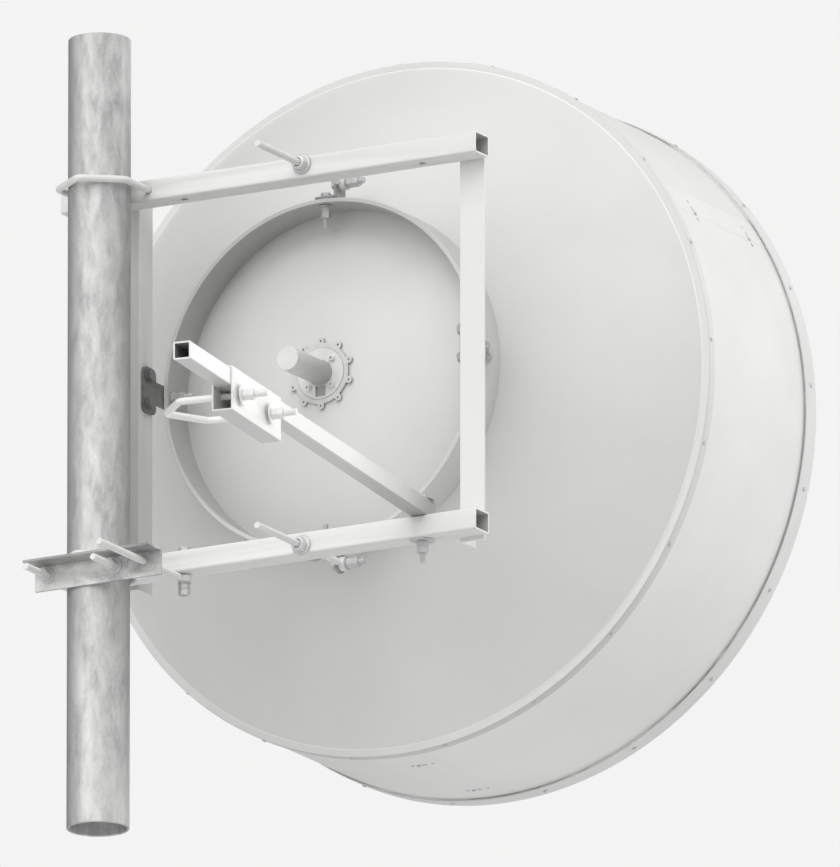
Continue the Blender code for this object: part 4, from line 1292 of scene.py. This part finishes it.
def make_feed():
    front, edge = VERTEX_Y - GAP, 0.0008
    spigot = BOWL_HOLE_R - GAP
    groove = BOSS_R + 0.0018
    outline = [(GUIDE_R + GAP, front + 0.012), (spigot, front + 0.012), (spigot, front)]
    outline += [(FEED_DISC_R, front), (FEED_DISC_R, FEED_DISC_Y + edge)]
    outline += [(FEED_DISC_R - edge, FEED_DISC_Y), (groove, FEED_DISC_Y)]
    outline += [(groove, KEYWAY_Y), (BOSS_R, KEYWAY_Y), (BOSS_R, BOSS_Y + edge)]
    outline += [(BOSS_R - edge, BOSS_Y), (0.0001, BOSS_Y)]
    outline += [(0.0001, front - 0.002), (GUIDE_R + GAP, front - 0.002)]
    boss = dish_piece("feed_boss", lathe(outline, 96), BOSS_ALLOY, ["feed_adapter"])
    low = Vector((DISH_X - 0.0100, FEED_DISC_Y - 0.001, DISH_Z - 0.0430))
    high = Vector((DISH_X + 0.0110, FEED_DISC_Y + 0.005, DISH_Z - BOSS_R - 0.0004))
    keyway = bmesh.new()
    bmesh.ops.create_cube(keyway, size=1)
    bmesh.ops.scale(keyway, vec=high - low, verts=keyway.verts)
    bmesh.ops.translate(keyway, vec=(low + high) / 2, verts=keyway.verts)
    cut(boss, keyway)
    # A thin dark plate on the keyway's floor: painted shade.
    floor = outline_solid([rectangle(-0.0098, 0, 0.0108, 0.0190)], 0.0004)
    where = plane((DISH_X, KEYWAY_Y + 0.0002, DISH_Z - 0.0428), X, Z)
    piece("keyway_floor_shade", floor, where, ALLOY_SHADE, "dish")
    for i in range(4):
        turn = math.radians(45 + 90 * i)
        seat, _ = dish_place(FEED_SCREW_CIRCLE, turn, FEED_DISC_Y - GAP)
        rows = [(0.0068, 0), (0.0070, 0.0012), (0.0068, 0.0020), (0.0054, 0.0021)]
        rows += [(0.0054, 0.0056), (0.0046, 0.0064)]
        rows += [(hex_at(0.0030), 0.0064), (hex_at(0.0030), 0.0022)]
        name = f"feed_screw_{i + 1}"
        bm = turned_solid(rows, 36)
        piece(name + "_head", bm, placed(seat, -Y), BRIGHT, "dish", [name], 25)


def make_feed_horn():
    wall = 0.002
    bm = lathe(band_profile(GUIDE_R - wall, GUIDE_R, VERTEX_Y - 0.0015, CONE_Y), 64)
    dish_piece("waveguide", bm, ALLOY, ["feed_waveguide"])
    top, plug = CONE_Y + CONE_LENGTH, GUIDE_R - wall - GAP
    cone = [(CONE_R - 0.001, top), (CONE_R, top - 0.001), (CONE_R, top - 0.006)]
    steps = 5
    for i in range(steps + 1):
        radius = CONE_R - 0.002 - (CONE_R - GUIDE_R - 0.004) * i / steps
        height = top - 0.006 - (CONE_LENGTH - 0.006 - GAP) * i / (steps + 1)
        cone += [(radius, height), (radius, height - 0.0045)]
    cone += [(plug, CONE_Y + GAP), (plug, CONE_Y - 0.020)]
    dish_piece("cone", turned_solid(cone), PLASTIC, ["feed_cone"])
    low = top + GAP
    plate = [(SPLASH_R - 0.003, low + 0.006), (SPLASH_R - 0.0005, low + 0.0045)]
    plate += [(SPLASH_R, low + 0.003), (SPLASH_R, low)]
    dish_piece("splash", turned_solid(plate, 96), ALLOY, ["splash_plate"])


def make_rod_bracket(name, up):
    thick, half = 0.005, 0.0175
    foot = DISH_Z + up * (RING_R + GAP)
    ear_height = ROD_RISE - RING_R - GAP
    outline = [(-half, 0.001), (half, 0.001)] + arc((0, ear_height), half, 0, 180, 24)
    bm = outline_solid([outline, circle(BOLT_HOLE_R, (0, ear_height))], thick)
    where = plane((DISH_X + EAR_X + thick / 2, TILT_Y, foot), Y, up * Z)
    bevelled(piece(name + "_ear", bm, where, BRACKET_ZINC, "dish", [name]), 0.0005)
    edge, start = half + 0.0015, 0.0135
    plate = rounded(rectangle(-edge, 0, edge, EAR_X + thick - 0.0005 + start), 0.003)
    bm = outline_solid([plate, circle(RING_HOLE_R, (0, start))], BRACKET_FOOT)
    where = plane((DISH_X - start, TILT_Y, foot + up * BRACKET_FOOT / 2), Y, X)
    bevelled(piece(name + "_foot", bm, where, BRACKET_ZINC, "dish"), 0.0005)


def ring_bolt(name, way, reach):
    """A bolt through the ring's side, with its head outside at this reach from the centre."""
    grip = reach - (RING_R - RING_WALL - 0.001)
    seat = TILT_CENTRE + way * reach
    bolt(name, seat, -way, grip, "dish", PLATED, 0.017, 0.021, small=True)


def make_ring_bolts():
    for side, word in SIDES:
        ring_bolt(f"{word}_pivot_bolt", side * X, ANGLE_REACH - GAP)
    grip = ROD_X + EYE_SHIFT + EYE_THICK / 2 - EAR_X
    for up, word in LEVELS:
        ring_bolt(f"{word}_bracket_bolt", up * Z, RING_R + GAP + BRACKET_FOOT)
        seat = TILT_CENTRE + Vector((EAR_X, 0, up * ROD_RISE))
        bolt(f"{word}_rod_pin", seat, X, grip, "dish", PLATED, 0.010, 0.024)


# --- Rods, strut and its clamp ---


def make_rods():
    for up, word in LEVELS:
        eye = (DISH_X + ROD_X, TILT_Y, DISH_Z + up * ROD_RISE)
        length = TILT_Y - ROD_END_Y
        name = f"{word}_elevation_rod"
        eye_rod(name, eye, -Y, X, length, f"{word}_rod", EYE_SHIFT, 0.0033)
    eye = (AZIMUTH_X, TUBE_Y, AZIMUTH_ROD_Z)
    eye_rod("azimuth_rod", eye, -Y, Z, TUBE_Y - AZIMUTH_ROD_END_Y, "azimuth_rod")


STRUT_PLACE = Matrix.Translation((STRUT_X, TUBE_Y, 0)) @ Matrix.Rotation(STRUT_SWING, 4, "Z")


def make_strut():
    height = STRUT_BOTTOM_Z + STRUT_SIDE / 2
    centre = (0, STRUT_OVERHANG - STRUT_LENGTH / 2, height)
    loops = box_loops(STRUT_SIDE, STRUT_SIDE, STRUT_WALL, 0.003, 0.0012)
    bm = outline_solid(loops, STRUT_LENGTH)
    where = STRUT_PLACE @ plane(centre, Z, X)
    strut = piece("strut_tube", bm, where, STRUT_PAINT, "sway_strut", ["sway_strut"])
    drill(strut, (STRUT_X, TUBE_Y, height), Z, BOLT_HOLE_R, 0.08)
    size = (STRUT_SIDE, STRUT_LENGTH, STRUT_SIDE)
    shade_tube(strut, STRUT_UNDER_SHADE, STRUT_SHADE, centre, size, STRUT_PLACE)


def make_strut_clamp():
    wall = SLEEVE_WALL
    half = STRUT_SIDE / 2 + GAP + wall
    top = STRUT_BOTTOM_Z + STRUT_SIDE + GAP + wall
    bottom = top - SLEEVE_DROP - wall
    outer = rounded(rectangle(bottom, -half, top, half), 0.0025, 4)
    inner = rounded(rectangle(bottom + wall, wall - half, top - wall, half - wall), 0.0008, 2)
    bm = outline_solid([outer, inner], SLEEVE_LENGTH)
    where = STRUT_PLACE @ plane((0, -SLEEVE_CENTRE, 0), Z, X)
    sleeve = piece("sleeve", bm, where, STRUT_PAINT, "strut_clamp", ["strut_clamp"])
    bolt_y = -SLEEVE_CENTRE - SLEEVE_BOLT_SHIFT
    bolt_z = STRUT_BOTTOM_Z - SLEEVE_BOLT_DROP
    across = (STRUT_PLACE.to_3x3() @ X).normalized()
    for step, word in ((1, "front"), (-1, "rear")):
        y = bolt_y + step * VBOLT_HALF
        drill(sleeve, STRUT_PLACE @ Vector((0, y, bolt_z)), across, BOLT_HOLE_R, 0.06)
        seat = STRUT_PLACE @ Vector((half, y, bolt_z))
        name = f"strut_v_bolt_nut_{word}"
        sizes = (SLEEVE_WASHER_R, SLEEVE_SPACER)
        washered_nut(name, seat, across, "strut_clamp", STRUT_PAINT, *sizes)
    centre = (0, -SLEEVE_CENTRE, (top + bottom) / 2)
    size = (2 * half, SLEEVE_LENGTH, top - bottom)
    shade_tube(sleeve, STRUT_UNDER_SHADE, SLEEVE_SHADE, centre, size, STRUT_PLACE)
    reach = SLEEVE_VBOLT_TIP - (VBOLT_DEPTH - VBOLT_APEX)
    turn = Matrix.Rotation(-math.pi / 2, 4, "Z")
    where = STRUT_PLACE @ Matrix.Translation((reach, bolt_y, bolt_z)) @ turn
    v_bolt("strut_v_bolt", where, "strut_clamp", STRUT_PAINT)


# --- Floor, backdrop and light ---


def make_stage():
    bm = bmesh.new()
    bmesh.ops.create_circle(bm, cap_ends=True, segments=96, radius=FLOOR_R)
    bmesh.ops.translate(bm, vec=FLOOR_CENTRE, verts=bm.verts)
    mesh = bpy.data.meshes.new("floor")
    bm.to_mesh(mesh)
    bm.free()
    floor = in_scene("floor", mesh)
    n = Paint("floor_paint")
    colour = n.mix(n.noise(1.2, 3.0), tone(0.80), tone(0.83))
    mesh.materials.append(n.finish(colour, 0.9, 0.0, [], 0.2))


def make_light():
    """A plain backdrop, and wide soft lobes of light from the studio round it."""
    world = bpy.data.worlds.new("studio")
    bpy.context.scene.world = world
    world.use_nodes = True
    world.node_tree.nodes.clear()
    n = Nodes(world.node_tree)
    direction = n.add("ShaderNodeTexCoord").outputs["Generated"]
    total = 0.0
    for toward, strength in LOBES:
        facing = n.math("MAXIMUM", n.dot(direction, toward), 0.0)
        lobe = n.math("MULTIPLY", n.math("POWER", facing, LOBE_POWER), strength)
        total = n.math("ADD", lobe, total)
    studio = n.add("ShaderNodeBackground", Color=(1, 1, 1, 1), Strength=total)
    backdrop = n.add("ShaderNodeBackground", Color=BACKDROP, Strength=1.0)
    seen = n.add("ShaderNodeLightPath").outputs["Is Camera Ray"]
    both = n.add("ShaderNodeMixShader", Fac=seen)
    n.put(both.inputs[1], studio.outputs[0])
    n.put(both.inputs[2], backdrop.outputs[0])
    n.add("ShaderNodeOutputWorld", Surface=both.outputs[0])


def main():
    make_camera()
    make_pole()
    make_pole_clamp()
    for up, word in LEVELS:
        make_tube(f"{word}_tube", up)
    for side, word in SIDES:
        make_upright(f"{word}_upright", side)
        make_pivot_plate(f"{word}_pivot_plate", side)
    make_frame_bolts()
    make_reflector()
    make_mounting_ring()
    make_shroud()
    make_radome()
    make_edge_screws()
    make_seams()
    make_hub()
    make_feed()
    make_feed_horn()
    for up, word in LEVELS:
        make_rod_bracket(f"{word}_rod_bracket", up)
    make_ring_bolts()
    make_rods()
    make_strut()
    make_strut_clamp()
    make_stage()
    make_light()
    bpy.context.scene.view_settings.view_transform = "Standard"


main()
